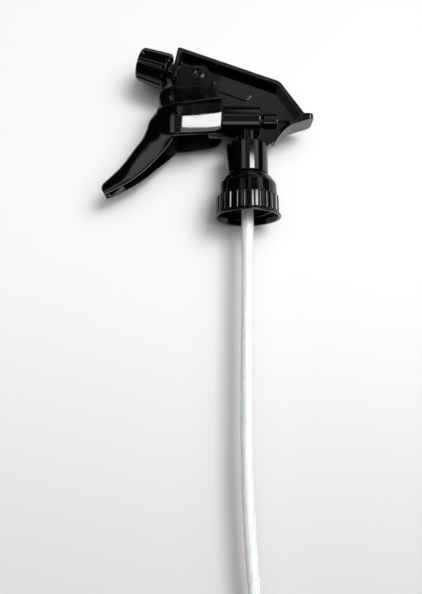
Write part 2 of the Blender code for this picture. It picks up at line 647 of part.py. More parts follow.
def make_nozzle(black, white, rubber, steel):
    """Outlet ball and spring, swirl plug, seal ring and the fluted cap, on the nozzle's axis."""
    ball_at = CHAMBER_FROM + math.sqrt(OUTLET_BALL_R ** 2 - OUTLET_BORE_R ** 2) + 0.15 * MM
    piece("outlet_ball", ball(OUTLET_BALL_R), steel, along_nozzle(ball_at))
    spring_from, plug_from = ball_at + OUTLET_BALL_R + 0.15 * MM, 10.2 * MM
    spring = coil(1.75 * MM, 0.22 * MM, 0, plug_from - 0.2 * MM - spring_from, 4, 10, 4)
    piece("outlet_spring", spring, steel, along_nozzle(spring_from))
    plug = [
        (0, plug_from), (1.3 * MM, plug_from), (1.3 * MM, 11.6 * MM), (CHAMBER_R - 0.15 * MM, 11.8 * MM),
        (CHAMBER_R - 0.15 * MM, SPUD_LENGTH + 0.3 * MM), (3.6 * MM, SPUD_LENGTH + 0.3 * MM),
        (3.6 * MM, SPUD_LENGTH + 1.2 * MM), (0, SPUD_LENGTH + 1.2 * MM),
    ]
    profile = [(r, h - plug_from) for r, h in plug]
    swirl = piece("swirl_plug", turned(profile, 16), white, along_nozzle(plug_from))
    groove = box_outline(0.9 * MM, 3 * MM, 0, SPUD_LENGTH)
    slots = []
    for k in range(2):
        cutter = piece("groove", prism(groove, -0.5 * MM, 0.5 * MM))
        cutter.matrix_world = along_nozzle(plug_from - 1 * MM) @ Matrix.Rotation(math.pi * k, 4, "Z")
        slots.append(cutter)
    combine(swirl, slots, "DIFFERENCE")
    ring_at, ring_r, thick = 13.6 * MM, SPUD_TIP_R + 0.75 * MM, 0.6 * MM
    ring = [(ring_r + thick * math.cos(a), thick * math.sin(a)) for a in (math.pi * k / 3 for k in range(6))]
    piece("nozzle_seal", turned(ring, SMALL_ROUND), rubber, along_nozzle(ring_at))
    length, sleeve_r = CAP_FRONT - CAP_REAR, 6.9 * MM
    front_wall = length - 2.6 * MM
    cap = [
        (CAP_REAR_R - 1.4 * MM, 0), (CAP_REAR_R, 0), (CAP_REAR_R - 0.1 * MM, 1.3 * MM),
        (CAP_FRONT_R + 0.1 * MM, length - 1.3 * MM), (CAP_FRONT_R - 0.5 * MM, length), (3.2 * MM, length),
        (2.6 * MM, length - 0.9 * MM), (0.5 * MM, length - 0.9 * MM), (0.5 * MM, front_wall),
        (6.1 * MM, front_wall), (6.1 * MM, 8.0 * MM), (SPUD_R + 0.25 * MM, 7.6 * MM),
        (SPUD_R + 0.25 * MM, 1.2 * MM), (sleeve_r, 1.2 * MM),
        (sleeve_r, length - 3.6 * MM), (CAP_FRONT_R - 1.2 * MM, length - 3.6 * MM),
    ]
    piece("nozzle_cap", turned(cap, 4 * CAP_FLUTES, flute_swell), black, along_nozzle(CAP_REAR))


def main():
    clear_scene()
    black = surface("black_gloss", (0.012, 0.012, 0.013), 0.12)
    white = surface("natural_plastic", (0.82, 0.82, 0.79), 0.38)
    rubber = surface("seal_rubber", (0.05, 0.05, 0.05), 0.6)
    grey = surface("gasket_foam", (0.75, 0.75, 0.72), 0.7)
    steel = surface("spring_steel", (0.62, 0.62, 0.6), 0.25, 1.0)
    milky = surface("milky_tube", (0.9, 0.91, 0.9), 0.3)
    make_body(black)
    make_trigger(black)
    make_pump(black, white, rubber, steel)
    make_neck(black, white, grey, steel, milky)
    make_nozzle(black, white, rubber, steel)


main()
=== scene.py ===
"""Looks for the trigger sprayer head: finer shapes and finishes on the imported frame, in metres."""

import json
import math

import bmesh
import bpy
from mathutils import Matrix, Vector


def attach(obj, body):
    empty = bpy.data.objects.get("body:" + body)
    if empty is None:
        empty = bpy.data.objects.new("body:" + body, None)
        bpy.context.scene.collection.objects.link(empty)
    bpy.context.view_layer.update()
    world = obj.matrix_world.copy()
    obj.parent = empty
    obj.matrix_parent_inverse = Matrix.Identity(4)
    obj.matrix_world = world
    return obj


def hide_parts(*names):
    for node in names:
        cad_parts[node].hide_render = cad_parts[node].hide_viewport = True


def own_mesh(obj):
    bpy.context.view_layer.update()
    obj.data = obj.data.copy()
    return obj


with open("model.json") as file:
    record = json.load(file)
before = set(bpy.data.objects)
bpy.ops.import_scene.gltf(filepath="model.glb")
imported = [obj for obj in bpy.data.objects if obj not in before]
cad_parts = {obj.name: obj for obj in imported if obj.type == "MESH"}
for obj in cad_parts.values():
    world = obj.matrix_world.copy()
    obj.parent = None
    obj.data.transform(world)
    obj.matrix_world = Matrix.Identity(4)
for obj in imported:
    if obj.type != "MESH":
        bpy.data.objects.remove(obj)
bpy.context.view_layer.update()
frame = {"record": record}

MM = 0.001

# Housing
WEB_HALF = 1.2 * MM
FLANGE_HALF = 6.7 * MM
FLANGE_WALL = 2.0 * MM
FRONT_LOW = (-39.6 * MM, 57.6 * MM)
TOP_FRONT = (-35.5 * MM, 75.9 * MM)
TOP_REAR = (16.5 * MM, 57.0 * MM)
SLOPE_END = (28.9 * MM, 39.8 * MM)
SADDLE_CURVE = (
    (14.2, 25.6), (15.6, 28.0), (17.4, 30.4), (19.6, 32.3),
    (22.3, 33.7), (25.6, 34.9), (29.5, 36.1), (33.7, 37.4),
)
SADDLE_WALL = 2.1 * MM
SADDLE_TOP = 40.0 * MM
SADDLE_HALF = 6.7 * MM
DUCT_HALF = 5.3 * MM
BLOCK_HALF = 4.6 * MM

# Pump
PUMP_Z = 37.7 * MM
CYLINDER_R = 8.2 * MM
CYLINDER_BORE_R = 6.8 * MM
CYLINDER_FRONT = -20.0 * MM
CYLINDER_REAR = 6.6 * MM
CYLINDER_FLOOR = 5.0 * MM
PLUG_R = 3.9 * MM
PLUG_REAR = 15.4 * MM
PISTON_REAR = -10.6 * MM

# Neck, closure and tube
NECK_R = 10.65 * MM
NECK_LOW, NECK_TOP = 9.3 * MM, 25.0 * MM
THROAT_R = 9.4 * MM
CLOSURE_RIM_R = 17.0 * MM
CLOSURE_LOW, CLOSURE_TOP = -13.0 * MM, 8.2 * MM
CLOSURE_BORE_R = 14.15 * MM
CLOSURE_CEILING = 3.35 * MM
CLOSURE_HOLE_R = 9.8 * MM
RIB_COUNT = 28
THREAD_PITCH = 4.23 * MM
THREAD_DEPTH = 0.95 * MM
SPIGOT_R = 7.6 * MM
SPIGOT_TOP = 12.0 * MM
TUBE_R, TUBE_BORE_R = 3.1 * MM, 2.1 * MM
TUBE_ROUTE = (
    (0.0, 8.2), (0.0, -6.0), (-0.45, -45.0), (-1.0, -90.0), (-1.2, -130.0),
    (-0.1, -165.0), (2.0, -195.0), (5.4, -235.0),
)
TUBE_TOP = TUBE_ROUTE[0][1] * MM
BALL_SEAT_R = 1.5 * MM
INLET_BALL_R = 2.0 * MM

# Nozzle
NOZZLE_BASE = Vector((-37.2 * MM, 0.0, 64.1 * MM))
NOZZLE_TILT = math.radians(18.5)
SPUD_R = 5.25 * MM
SPUD_TIP_R = 4.6 * MM
SPUD_LENGTH = 15.0 * MM
CAP_REAR, CAP_FRONT = 4.0 * MM, 19.6 * MM
CAP_REAR_R, CAP_FRONT_R = 9.3 * MM, 8.3 * MM
CAP_FLUTES = 12
OUTLET_BORE_R = 1.1 * MM
CHAMBER_R = 2.4 * MM
CHAMBER_FROM = 2.0 * MM
OUTLET_BALL_R = 1.75 * MM

# Trigger
PIVOT = Vector((-25.2 * MM, 0.0, 59.1 * MM))
TRUNNION_R = 2.25 * MM
EAR_HOLE_R = 2.4 * MM
EAR_RING_R = 3.3 * MM
EAR_INNER, EAR_OUTER = 9.2 * MM, 10.9 * MM
TRIGGER_WALL = 1.7 * MM
PUSH_PAD_X = -43.4 * MM
LEVER = (  # front edge x and z, rear edge x and z, half width, in millimetres, from the top to the tip
    (-42.7, 52.8, -36.9, 52.2, 9.6), (-46.1, 49.6, -37.4, 48.0, 10.3), (-45.6, 44.2, -36.6, 43.0, 10.4),
    (-47.2, 40.0, -36.0, 38.0, 12.4), (-50.0, 35.5, -36.0, 31.4, 12.8), (-51.6, 30.6, -37.2, 25.6, 11.6),
    (-54.0, 26.0, -41.7, 19.9, 9.4), (-58.1, 21.3, -46.9, 14.9, 7.6), (-61.6, 16.8, -52.9, 9.4, 6.5),
    (-65.7, 12.0, -59.3, 4.8, 5.8), (-70.6, 7.2, -65.0, 1.6, 5.6), (-73.7, 4.2, -69.5, -0.7, 5.4),
    (-74.3, 2.0, -72.4, -1.8, 5.2),
)
WING = (  # x, top z, bottom z, and half widths at the top, middle and bottom, in millimetres
    (-45.6, 41.6, 27.8, 9.0, 10.2, 9.0), (-42.2, 41.9, 26.4, 11.5, 12.3, 11.1),
    (-38.6, 42.1, 25.8, 13.1, 13.8, 12.4), (-34.8, 42.9, 25.9, 13.5, 14.2, 12.8),
    (-28.0, 44.3, 26.5, 12.7, 13.4, 12.1), (-22.0, 45.5, 27.2, 12.0, 12.7, 11.4),
    (-16.8, 46.5, 27.9, 11.4, 12.1, 10.8), (-14.2, 46.9, 29.1, 11.1, 11.8, 10.6),
    (-12.7, 47.1, 31.8, 10.9, 11.6, 10.5),
)

ROUND = 96  # sides of a large turned piece

# Studio
REST_LIGHT = 0.012
LIGHTS = (  # strength, then azimuths, elevations and softness of each patch, in degrees
    (22.0, 11, 36, 3.5, 20.7, 0.7),  # the window
    (2.3, 9, 40, -14, 4, 1.5),  # its sill
    (0.6, -5, 60, -8, 39, 2.5),  # a wide dim panel round the window
    (1.2, -33, -13, -8, 25, 3.0),  # a panel on the left
    (0.9, 42, 60, -8, 60, 4.0),  # a panel on the right
    (-0.42, -5, 34, -6, 23, 4.0),  # darker parts take light away
    (0.16, -14, -4, -6, 24, 3.0),
    (-0.5, 9, 36, 22, 40, 3.0),
    (0.8, 6, 42, 46, 76, 5.0),  # a panel overhead
    (1.8, -6, 9, -34, -16, 4.0),  # a panel low in front
    (-0.42, -8, 0.9, 26.9, 28.9, 0.5),
    (-0.6, -8, 0.6, 24.2, 26.9, 0.4),
)
PALE_AIR = (0.93, 0.93, 0.93, 1)
LAMP_POWER = 7.0
LAMP_SIZE = 1.1
LAMP_PLACE = (0.25, -0.9, 0.1)
LAMP_AIM = Vector((-0.05, 0, 0))
TABLE_Y = 17.3 * MM
TABLE_REACH = 2.5
# painted shade: the table's colour, darker low down and lighter high up, stands in for light that falls off
# towards the bottom
TABLE_SHADED_LOW, TABLE_LIT_HIGH = (0.435, 0.435, 0.435), (0.56, 0.56, 0.56)
CAMERA_PLACE = (-18.6 * MM, -296.1 * MM, -92.9 * MM)
CAMERA_TILT = math.radians(97.6)
CAMERA_LENS, CAMERA_SENSOR = 36.36, 36.0


# ---- meshes ----


def shaded(mesh):
    mesh.shade_smooth()
    mesh.set_sharp_from_angle(angle=math.radians(38))


def piece(name, bm, place=None):
    """A new object from a bmesh, which it frees, with its faces outward."""
    bmesh.ops.recalc_face_normals(bm, faces=bm.faces)
    mesh = bpy.data.meshes.new(name)
    bm.to_mesh(mesh)
    bm.free()
    shaded(mesh)
    obj = bpy.data.objects.new(name, mesh)
    bpy.context.scene.collection.objects.link(obj)
    if place is not None:
        mesh.transform(place)
    return obj


def combine(target, tools, operation):
    """Joins the tools to the target, or cuts them from it, and removes them."""
    for tool in tools:
        modifier = target.modifiers.new("combine", "BOOLEAN")
        modifier.operation = operation
        modifier.solver = "MANIFOLD"
        modifier.object = tool
    bpy.context.view_layer.update()
    graph = bpy.context.evaluated_depsgraph_get()
    mesh = bpy.data.meshes.new_from_object(target.evaluated_get(graph))
    target.modifiers.clear()
    target.data = mesh
    for tool in tools:
        bpy.data.objects.remove(tool)
    shaded(mesh)
    return target


def even_normals(obj):
    """Keeps large flat faces flat in the shading where they meet small rounded edges."""
    modifier = obj.modifiers.new("normals", "WEIGHTED_NORMAL")
    modifier.keep_sharp = True
    modifier.weight = 80
    return obj


def softened(bm, width, segments=3, least=50):
    """Rounds every edge of the bmesh that is sharper than this angle in degrees."""
    bmesh.ops.recalc_face_normals(bm, faces=bm.faces)
    limit = math.radians(least)
    edges = [e for e in bm.edges if len(e.link_faces) == 2 and e.calc_face_angle(0) > limit]
    bmesh.ops.bevel(bm, geom=edges, offset=width, segments=segments, profile=0.5,
                    affect="EDGES", clamp_overlap=True)
    return bm


def rounded(points, radii, steps=6):
    """The outline with each corner replaced by a fillet. radii is one radius or one for each corner."""
    outline = []
    for i, point in enumerate(points):
        here = Vector(point)
        before, after = Vector(points[i - 1]) - here, Vector(points[(i + 1) % len(points)]) - here
        radius = radii[i] if isinstance(radii, (list, tuple)) else radii
        reach = min(radius, 0.45 * before.length, 0.45 * after.length)
        start, end = here + before.normalized() * reach, here + after.normalized() * reach
        for k in range(steps + 1):
            t = k / steps
            outline.append(tuple((1 - t) ** 2 * start + 2 * t * (1 - t) * here + t * t * end))
    return outline


def arc(centre, radius, start, end, steps):
    angles = [start + (end - start) * i / steps for i in range(steps + 1)]
    return [(centre[0] + radius * math.cos(a), centre[1] + radius * math.sin(a)) for a in angles]


def box_outline(left, right, low, high):
    return [(left, low), (right, low), (right, high), (left, high)]


def offset_line(start, end, distance):
    along = (Vector(end) - Vector(start)).normalized()
    side = Vector((along.y, -along.x)) * distance
    return Vector(start) + side, Vector(end) + side


def crossing(line_a, line_b):
    (p, q), (r, s) = line_a, line_b
    d, e = q - p, s - r
    t = ((r - p).x * e.y - (r - p).y * e.x) / (d.x * e.y - d.y * e.x)
    return tuple(p + d * t)


def prism(outline, low, high, axis="Y"):
    """A solid with this outline, in x and z or in x and y, from low to high along the other axis."""
    bm = bmesh.new()
    rings = []
    for level in (low, high):
        points = [(a, level, b) if axis == "Y" else (a, b, level) for a, b in outline]
        rings.append([bm.verts.new(point) for point in points])
    bm.faces.new(rings[0])
    bm.faces.new(list(reversed(rings[1])))
    for i in range(len(outline)):
        j = (i + 1) % len(outline)
        bm.faces.new((rings[0][i], rings[1][i], rings[1][j], rings[0][j]))
    return bm


def skin(rings, closed_ends=True):
    """A solid through rings of points that all have the same count."""
    bm = bmesh.new()
    verts = [[bm.verts.new(point) for point in ring] for ring in rings]
    for lower, upper in zip(verts, verts[1:]):
        for i in range(len(lower)):
            j = (i + 1) % len(lower)
            bm.faces.new((lower[i], lower[j], upper[j], upper[i]))
    if closed_ends:
        bm.faces.new(verts[0])
        bm.faces.new(list(reversed(verts[-1])))
    return bm


def turned(profile, sides=ROUND, swell=None):
    """A solid of revolution about local Z. The profile's (radius, height) points run round a ring, or
    from axis to axis. swell(angle, radius, height) may give another radius."""
    bm = bmesh.new()
    columns = []
    for i in range(sides):
        angle = 2 * math.pi * i / sides
        column = []
        for radius, height in profile:
            r = swell(angle, radius, height) if swell else radius
            column.append((r * math.cos(angle), r * math.sin(angle), height))
        columns.append(column)
    on_axis = {k: bm.verts.new((0, 0, h)) for k, (r, h) in enumerate(profile) if r < 1e-7}
    verts = [
        [on_axis.get(k) or bm.verts.new(point) for k, point in enumerate(column)] for column in columns
    ]
    count = len(profile)
    spans = count - 1 if on_axis else count
    for i in range(sides):
        here, there = verts[i], verts[(i + 1) % sides]
        for k in range(spans):
            m = (k + 1) % count
            unique = list(dict.fromkeys([here[k], there[k], there[m], here[m]]))
            if len(unique) > 2:
                bm.faces.new(unique)
    return bm


def lathe_profile(points, radius, steps=4):
    """A profile with its corners rounded, except where it starts and ends on the axis."""
    on_axis = points[0][0] < 1e-7
    radii = [0.0 if on_axis and i in (0, len(points) - 1) else radius for i in range(len(points))]
    outline = rounded(points, radii, steps)
    if on_axis:
        outline = [points[0]] + outline[steps + 1:-(steps + 1)] + [points[-1]]
    tidy = [outline[0]]
    for point in outline[1:]:
        if (Vector(point) - Vector(tidy[-1])).length > 1e-6:
            tidy.append(point)
    return tidy


def rod(radius, low, high, sides=48):
    return turned([(0, low), (radius, low), (radius, high), (0, high)], sides)


def coil(radius, wire, low, high, turns, steps, sides):
    """A spring about local Z, its ends closed flat."""
    rings = []
    total = round(turns * steps)
    for i in range(total + 1):
        angle = 2 * math.pi * i / steps
        climb = min(max(i / total * 1.24 - 0.12, 0.0), 1.0)
        height = low + wire + (high - low - 2 * wire) * climb
        outward = Vector((math.cos(angle), math.sin(angle), 0))
        middle = outward * radius + Vector((0, 0, height))
        rings.append([
            middle + wire * (outward * math.cos(a) + Vector((0, 0, math.sin(a))))
            for a in (2 * math.pi * k / sides for k in range(sides))
        ])
    return skin(rings)


def ball(radius, steps=24):
    angles = [math.pi * i / steps for i in range(1, steps)]
    middle = [(radius * math.sin(a), -radius * math.cos(a)) for a in angles]
    return turned([(0, -radius), *middle, (0, radius)], 2 * steps)


def through(table, per_span):
    """Rows between the rows of a table, on a smooth curve through them."""
    rows = []
    last = len(table) - 1
    for i in range(last):
        a, b, c, d = (table[min(max(k, 0), last)] for k in (i - 1, i, i + 1, i + 2))
        for k in range(per_span):
            t = k / per_span
            row = []
            for p, q, r, s in zip(a, b, c, d):
                square, cube = 2 * p - 5 * q + 4 * r - s, 3 * q - p - 3 * r + s
                row.append(0.5 * (2 * q + (r - p) * t + square * t ** 2 + cube * t ** 3))
            rows.append(tuple(row))
    return rows + [table[-1]]


# ---- places ----


def along_x(x=0.0, z=PUMP_Z):
    return Matrix.Translation((x, 0, z)) @ Matrix.Rotation(math.pi / 2, 4, "Y")


def along_y(at):
    return Matrix.Translation(at) @ Matrix.Rotation(math.pi / 2, 4, "X")


def along_nozzle(distance=0.0):
    turn = Matrix.Rotation(NOZZLE_TILT - math.pi / 2, 4, "Y")
    return Matrix.Translation(NOZZLE_BASE) @ turn @ Matrix.Translation((0, 0, distance))


# ---- materials ----


class Nodes:
    """A material's node tree, with short calls that add and join nodes."""

    def __init__(self, name):
        self.material = bpy.data.materials.new(name)
        self.material.use_nodes = True
        self.tree = self.material.node_tree
        self.shader = self.tree.nodes["Principled BSDF"]

    def add(self, kind, **settings):
        node = self.tree.nodes.new("ShaderNode" + kind)
        for key, value in settings.items():
            setattr(node, key, value)
        return node

    def join(self, source, target):
        self.tree.links.new(source, target)

    def place(self, stretch=(1, 1, 1), turn=(0, 0, 0)):
        mapping = self.add("Mapping")
        mapping.inputs["Scale"].default_value = stretch
        mapping.inputs["Rotation"].default_value = turn
        self.join(self.add("TexCoord").outputs["Object"], mapping.inputs["Vector"])
        return mapping.outputs["Vector"]

    def noise(self, scale, detail=3.0, stretch=(1, 1, 1), turn=(0, 0, 0), distortion=0.0):
        node = self.add("TexNoise")
        node.inputs["Scale"].default_value = scale
        node.inputs["Detail"].default_value = detail
        node.inputs["Distortion"].default_value = distortion
        self.join(self.place(stretch, turn), node.inputs["Vector"])
        return node.outputs["Fac"]

    def spread(self, value, low, high, to_low, to_high):
        node = self.add("MapRange", interpolation_type="SMOOTHSTEP")
        limits = {"From Min": low, "From Max": high, "To Min": to_low, "To Max": to_high}
        for socket, number in limits.items():
            node.inputs[socket].default_value = number
        self.join(value, node.inputs["Value"])
        return node.outputs["Result"]

    def maths(self, operation, first, second):
        node = self.add("Math", operation=operation)
        for socket, value in zip(node.inputs, (first, second)):
            if isinstance(value, (int, float)):
                socket.default_value = value
            else:
                self.join(value, socket)
        return node.outputs["Value"]

    def bump(self, height, distance, strength=1.0, under=None):
        node = self.add("Bump")
        node.inputs["Strength"].default_value = strength
        node.inputs["Distance"].default_value = distance
        self.join(height, node.inputs["Height"])
        if under is not None:
            self.join(under, node.inputs["Normal"])
        return node.outputs["Normal"]

    def tint(self, factor, first, second):
        node = self.add("Mix", data_type="RGBA")
        self.join(factor, node.inputs["Factor"])
        node.inputs["A"].default_value = (*first, 1)
        node.inputs["B"].default_value = (*second, 1)
        return node.outputs["Result"]


def scratches(nodes, turn, width=0.02):
    """Thin lines along one direction, as a value from 0 to 1."""
    lines = nodes.noise(900, 2.0, (1, 0.035, 0.5), turn, 0.01)
    near = nodes.maths("ABSOLUTE", nodes.maths("SUBTRACT", lines, 0.5), 0.0)
    thin = nodes.spread(near, 0.0, width, 1.0, 0.0)
    patches = nodes.spread(nodes.noise(70, 2.0), 0.58, 0.76, 0.0, 0.8)
    return nodes.maths("MULTIPLY", thin, patches)


def black_plastic(name, roughness, waves, seed, gloss=0.5):
    """Glossy moulded black plastic: a slightly wavy skin with fine scratches, rub marks and dust."""
    nodes = Nodes(name)
    one_way, other_way = (0.3 + seed, 0.2, 0.5), (1.2, 0.9 + seed, 0.1)
    marks = nodes.maths("MAXIMUM", scratches(nodes, one_way), scratches(nodes, other_way))
    rub = nodes.spread(nodes.noise(130 + 9 * seed, 5.0), 0.5, 0.78, 0.0, 1.0)
    specks = nodes.spread(nodes.noise(2600, 1.0), 0.77, 0.8, 0.0, 1.0)
    rough = nodes.maths("ADD", nodes.maths("MULTIPLY", rub, 0.05), roughness)
    rough = nodes.maths("ADD", nodes.maths("MULTIPLY", marks, 0.12), rough)
    rough = nodes.maths("ADD", nodes.maths("MULTIPLY", specks, 0.3), rough)
    nodes.join(rough, nodes.shader.inputs["Roughness"])
    dust, lines = nodes.maths("MULTIPLY", specks, 0.5), nodes.maths("MULTIPLY", marks, 0.25)
    grey = nodes.maths("MAXIMUM", dust, lines)
    black, dusty = (0.0008, 0.0008, 0.0008), (0.022, 0.022, 0.022)
    nodes.join(nodes.tint(grey, black, dusty), nodes.shader.inputs["Base Color"])
    nodes.shader.inputs["IOR"].default_value = 1.5
    nodes.shader.inputs["Specular IOR Level"].default_value = gloss
    skin_wave = nodes.bump(nodes.noise(95, 1.0), 0.00006 * waves, 0.5)
    grain = nodes.bump(nodes.noise(1500, 3.0), 0.000004, 0.5, skin_wave)
    nodes.join(nodes.bump(marks, -0.00001, 0.5, grain), nodes.shader.inputs["Normal"])
    return nodes.material


def natural_plastic(name, colour, roughness):
    """Undyed moulded plastic, satin and a little translucent."""
    nodes = Nodes(name)
    cloud = nodes.spread(nodes.noise(210, 4.0), 0.35, 0.7, 0.0, 1.0)
    darker = tuple(c * 0.9 for c in colour)
    nodes.join(nodes.tint(cloud, colour, darker), nodes.shader.inputs["Base Color"])
    nodes.join(nodes.spread(nodes.noise(500, 4.0), 0.3, 0.7, roughness - 0.07, roughness + 0.08),
               nodes.shader.inputs["Roughness"])
    nodes.shader.inputs["Subsurface Weight"].default_value = 0.15
    nodes.shader.inputs["Subsurface Radius"].default_value = (0.002, 0.002, 0.002)
    nodes.join(nodes.bump(nodes.noise(1400, 3.0), 0.00001, 0.5), nodes.shader.inputs["Normal"])
    return nodes.material


def rubber(name, colour):
    nodes = Nodes(name)
    lighter = tuple(min(1.0, c * 1.3 + 0.01) for c in colour)
    nodes.join(nodes.tint(nodes.noise(350, 4.0), colour, lighter), nodes.shader.inputs["Base Color"])
    nodes.join(nodes.spread(nodes.noise(900, 3.0), 0.3, 0.7, 0.5, 0.72), nodes.shader.inputs["Roughness"])
    nodes.join(nodes.bump(nodes.noise(2200, 3.0), 0.00002, 0.6), nodes.shader.inputs["Normal"])
    return nodes.material


def steel(name, roughness):
    nodes = Nodes(name)
    nodes.shader.inputs["Metallic"].default_value = 1.0
    nodes.join(nodes.tint(nodes.noise(600, 3.0), (0.6, 0.6, 0.59), (0.5, 0.5, 0.5)),
               nodes.shader.inputs["Base Color"])
    nodes.join(nodes.spread(nodes.noise(1500, 3.0), 0.3, 0.7, roughness - 0.06, roughness + 0.1),
               nodes.shader.inputs["Roughness"])
    nodes.join(nodes.bump(nodes.noise(3000, 2.0), 0.000005, 0.4), nodes.shader.inputs["Normal"])
    return nodes.material


def milky_tube(name):
    """Extruded translucent tube: faint lines along its length and a cloudy wall."""
    nodes = Nodes(name)
    lines = nodes.noise(1300, 2.0, (1, 1, 0.012))
    cloud = nodes.noise(160, 3.0)
    clear, cloudy = (0.93, 0.945, 0.945), (0.86, 0.875, 0.875)
    nodes.join(nodes.tint(cloud, clear, cloudy), nodes.shader.inputs["Base Color"])
    nodes.join(nodes.spread(lines, 0.3, 0.7, 0.24, 0.36), nodes.shader.inputs["Roughness"])
    nodes.shader.inputs["Transmission Weight"].default_value = 0.55
    nodes.shader.inputs["IOR"].default_value = 1.45
    nodes.join(nodes.bump(lines, 0.00003, 0.5), nodes.shader.inputs["Normal"])
    return nodes.material


# ---- the pieces ----


def flange_outline():
    outer = [FRONT_LOW, TOP_FRONT, TOP_REAR, SLOPE_END]
    lines = [offset_line(a, b, FLANGE_WALL) for a, b in zip(outer, outer[1:])]
    corners = [crossing(lines[1], lines[2]), crossing(lines[0], lines[1])]
    points = outer + [tuple(lines[2][1]), *corners, tuple(lines[0][0])]
    return rounded(points, [radius * MM for radius in (0.8, 1.3, 1.8, 0.1, 0.1, 1.2, 1.0, 0.8)], 5)


def saddle():
    """The curved rest for the web of the hand, wide at its tip and narrow at its low end."""
    curve = [Vector(point) * MM for point in through(SADDLE_CURVE, 4)]
    keep = len(curve) - 8
    back = []
    for i, point in enumerate(curve[:keep]):
        along = (curve[i + 1] - curve[max(i - 1, 0)]).normalized()
        back.append(point + Vector((-along.y, along.x)) * SADDLE_WALL)
    tip_x, corner, edge = curve[-1].x, 2.4 * MM, 1.1 * MM
    top = arc((tip_x - edge, SADDLE_TOP - edge), edge, 0, math.pi / 2, 5) + [(27.6 * MM, SADDLE_TOP)]
    outline = [tuple(p) for p in curve] + top + [tuple(p) for p in reversed(back)]
    plate = piece("saddle", prism(outline, -SADDLE_HALF, SADDLE_HALF))
    half = [(11 * MM, 2.6 * MM), (16.4 * MM, 2.9 * MM), (18.4 * MM, 4.4 * MM), (20.4 * MM, 5.9 * MM)]
    half += [(22.6 * MM, SADDLE_HALF - 0.02 * MM)]
    half += arc((tip_x - corner, SADDLE_HALF - corner), corner, math.pi / 2, 0, 12)
    plan = half + [(x, -y) for x, y in reversed(half)]
    combine(plate, [piece("plan", prism(plan, 15 * MM, 50 * MM, "Z"))], "INTERSECT")
    bm = bmesh.new()
    bm.from_mesh(plate.data)
    bmesh.ops.remove_doubles(bm, verts=bm.verts, dist=1e-6)
    softened(bm, 0.35 * MM, 2, 55)
    bmesh.ops.recalc_face_normals(bm, faces=bm.faces)
    bm.to_mesh(plate.data)
    bm.free()
    return plate


def web_outline():
    inside = 0.8 * MM
    return [
        (FRONT_LOW[0] + inside, FRONT_LOW[1] + inside),
        (TOP_FRONT[0] + inside, TOP_FRONT[1] - inside),
        (TOP_REAR[0] - inside, TOP_REAR[1] - inside),
        (SLOPE_END[0] - inside, SLOPE_END[1] - inside),
        (16.0 * MM, 30.8 * MM),
        (13.0 * MM, 26.6 * MM),
        (10.0 * MM, 24.4 * MM),
        (0.0, 24.0 * MM),
        (0.0, PUMP_Z),
        (-19.0 * MM, PUMP_Z),
        (-19.0 * MM, 45.0 * MM),
        (-31.0 * MM, 53.0 * MM),
    ]


def duct_line(x, lift=0.0):
    return NOZZLE_BASE.z - (x - NOZZLE_BASE.x) * math.tan(NOZZLE_TILT) + lift


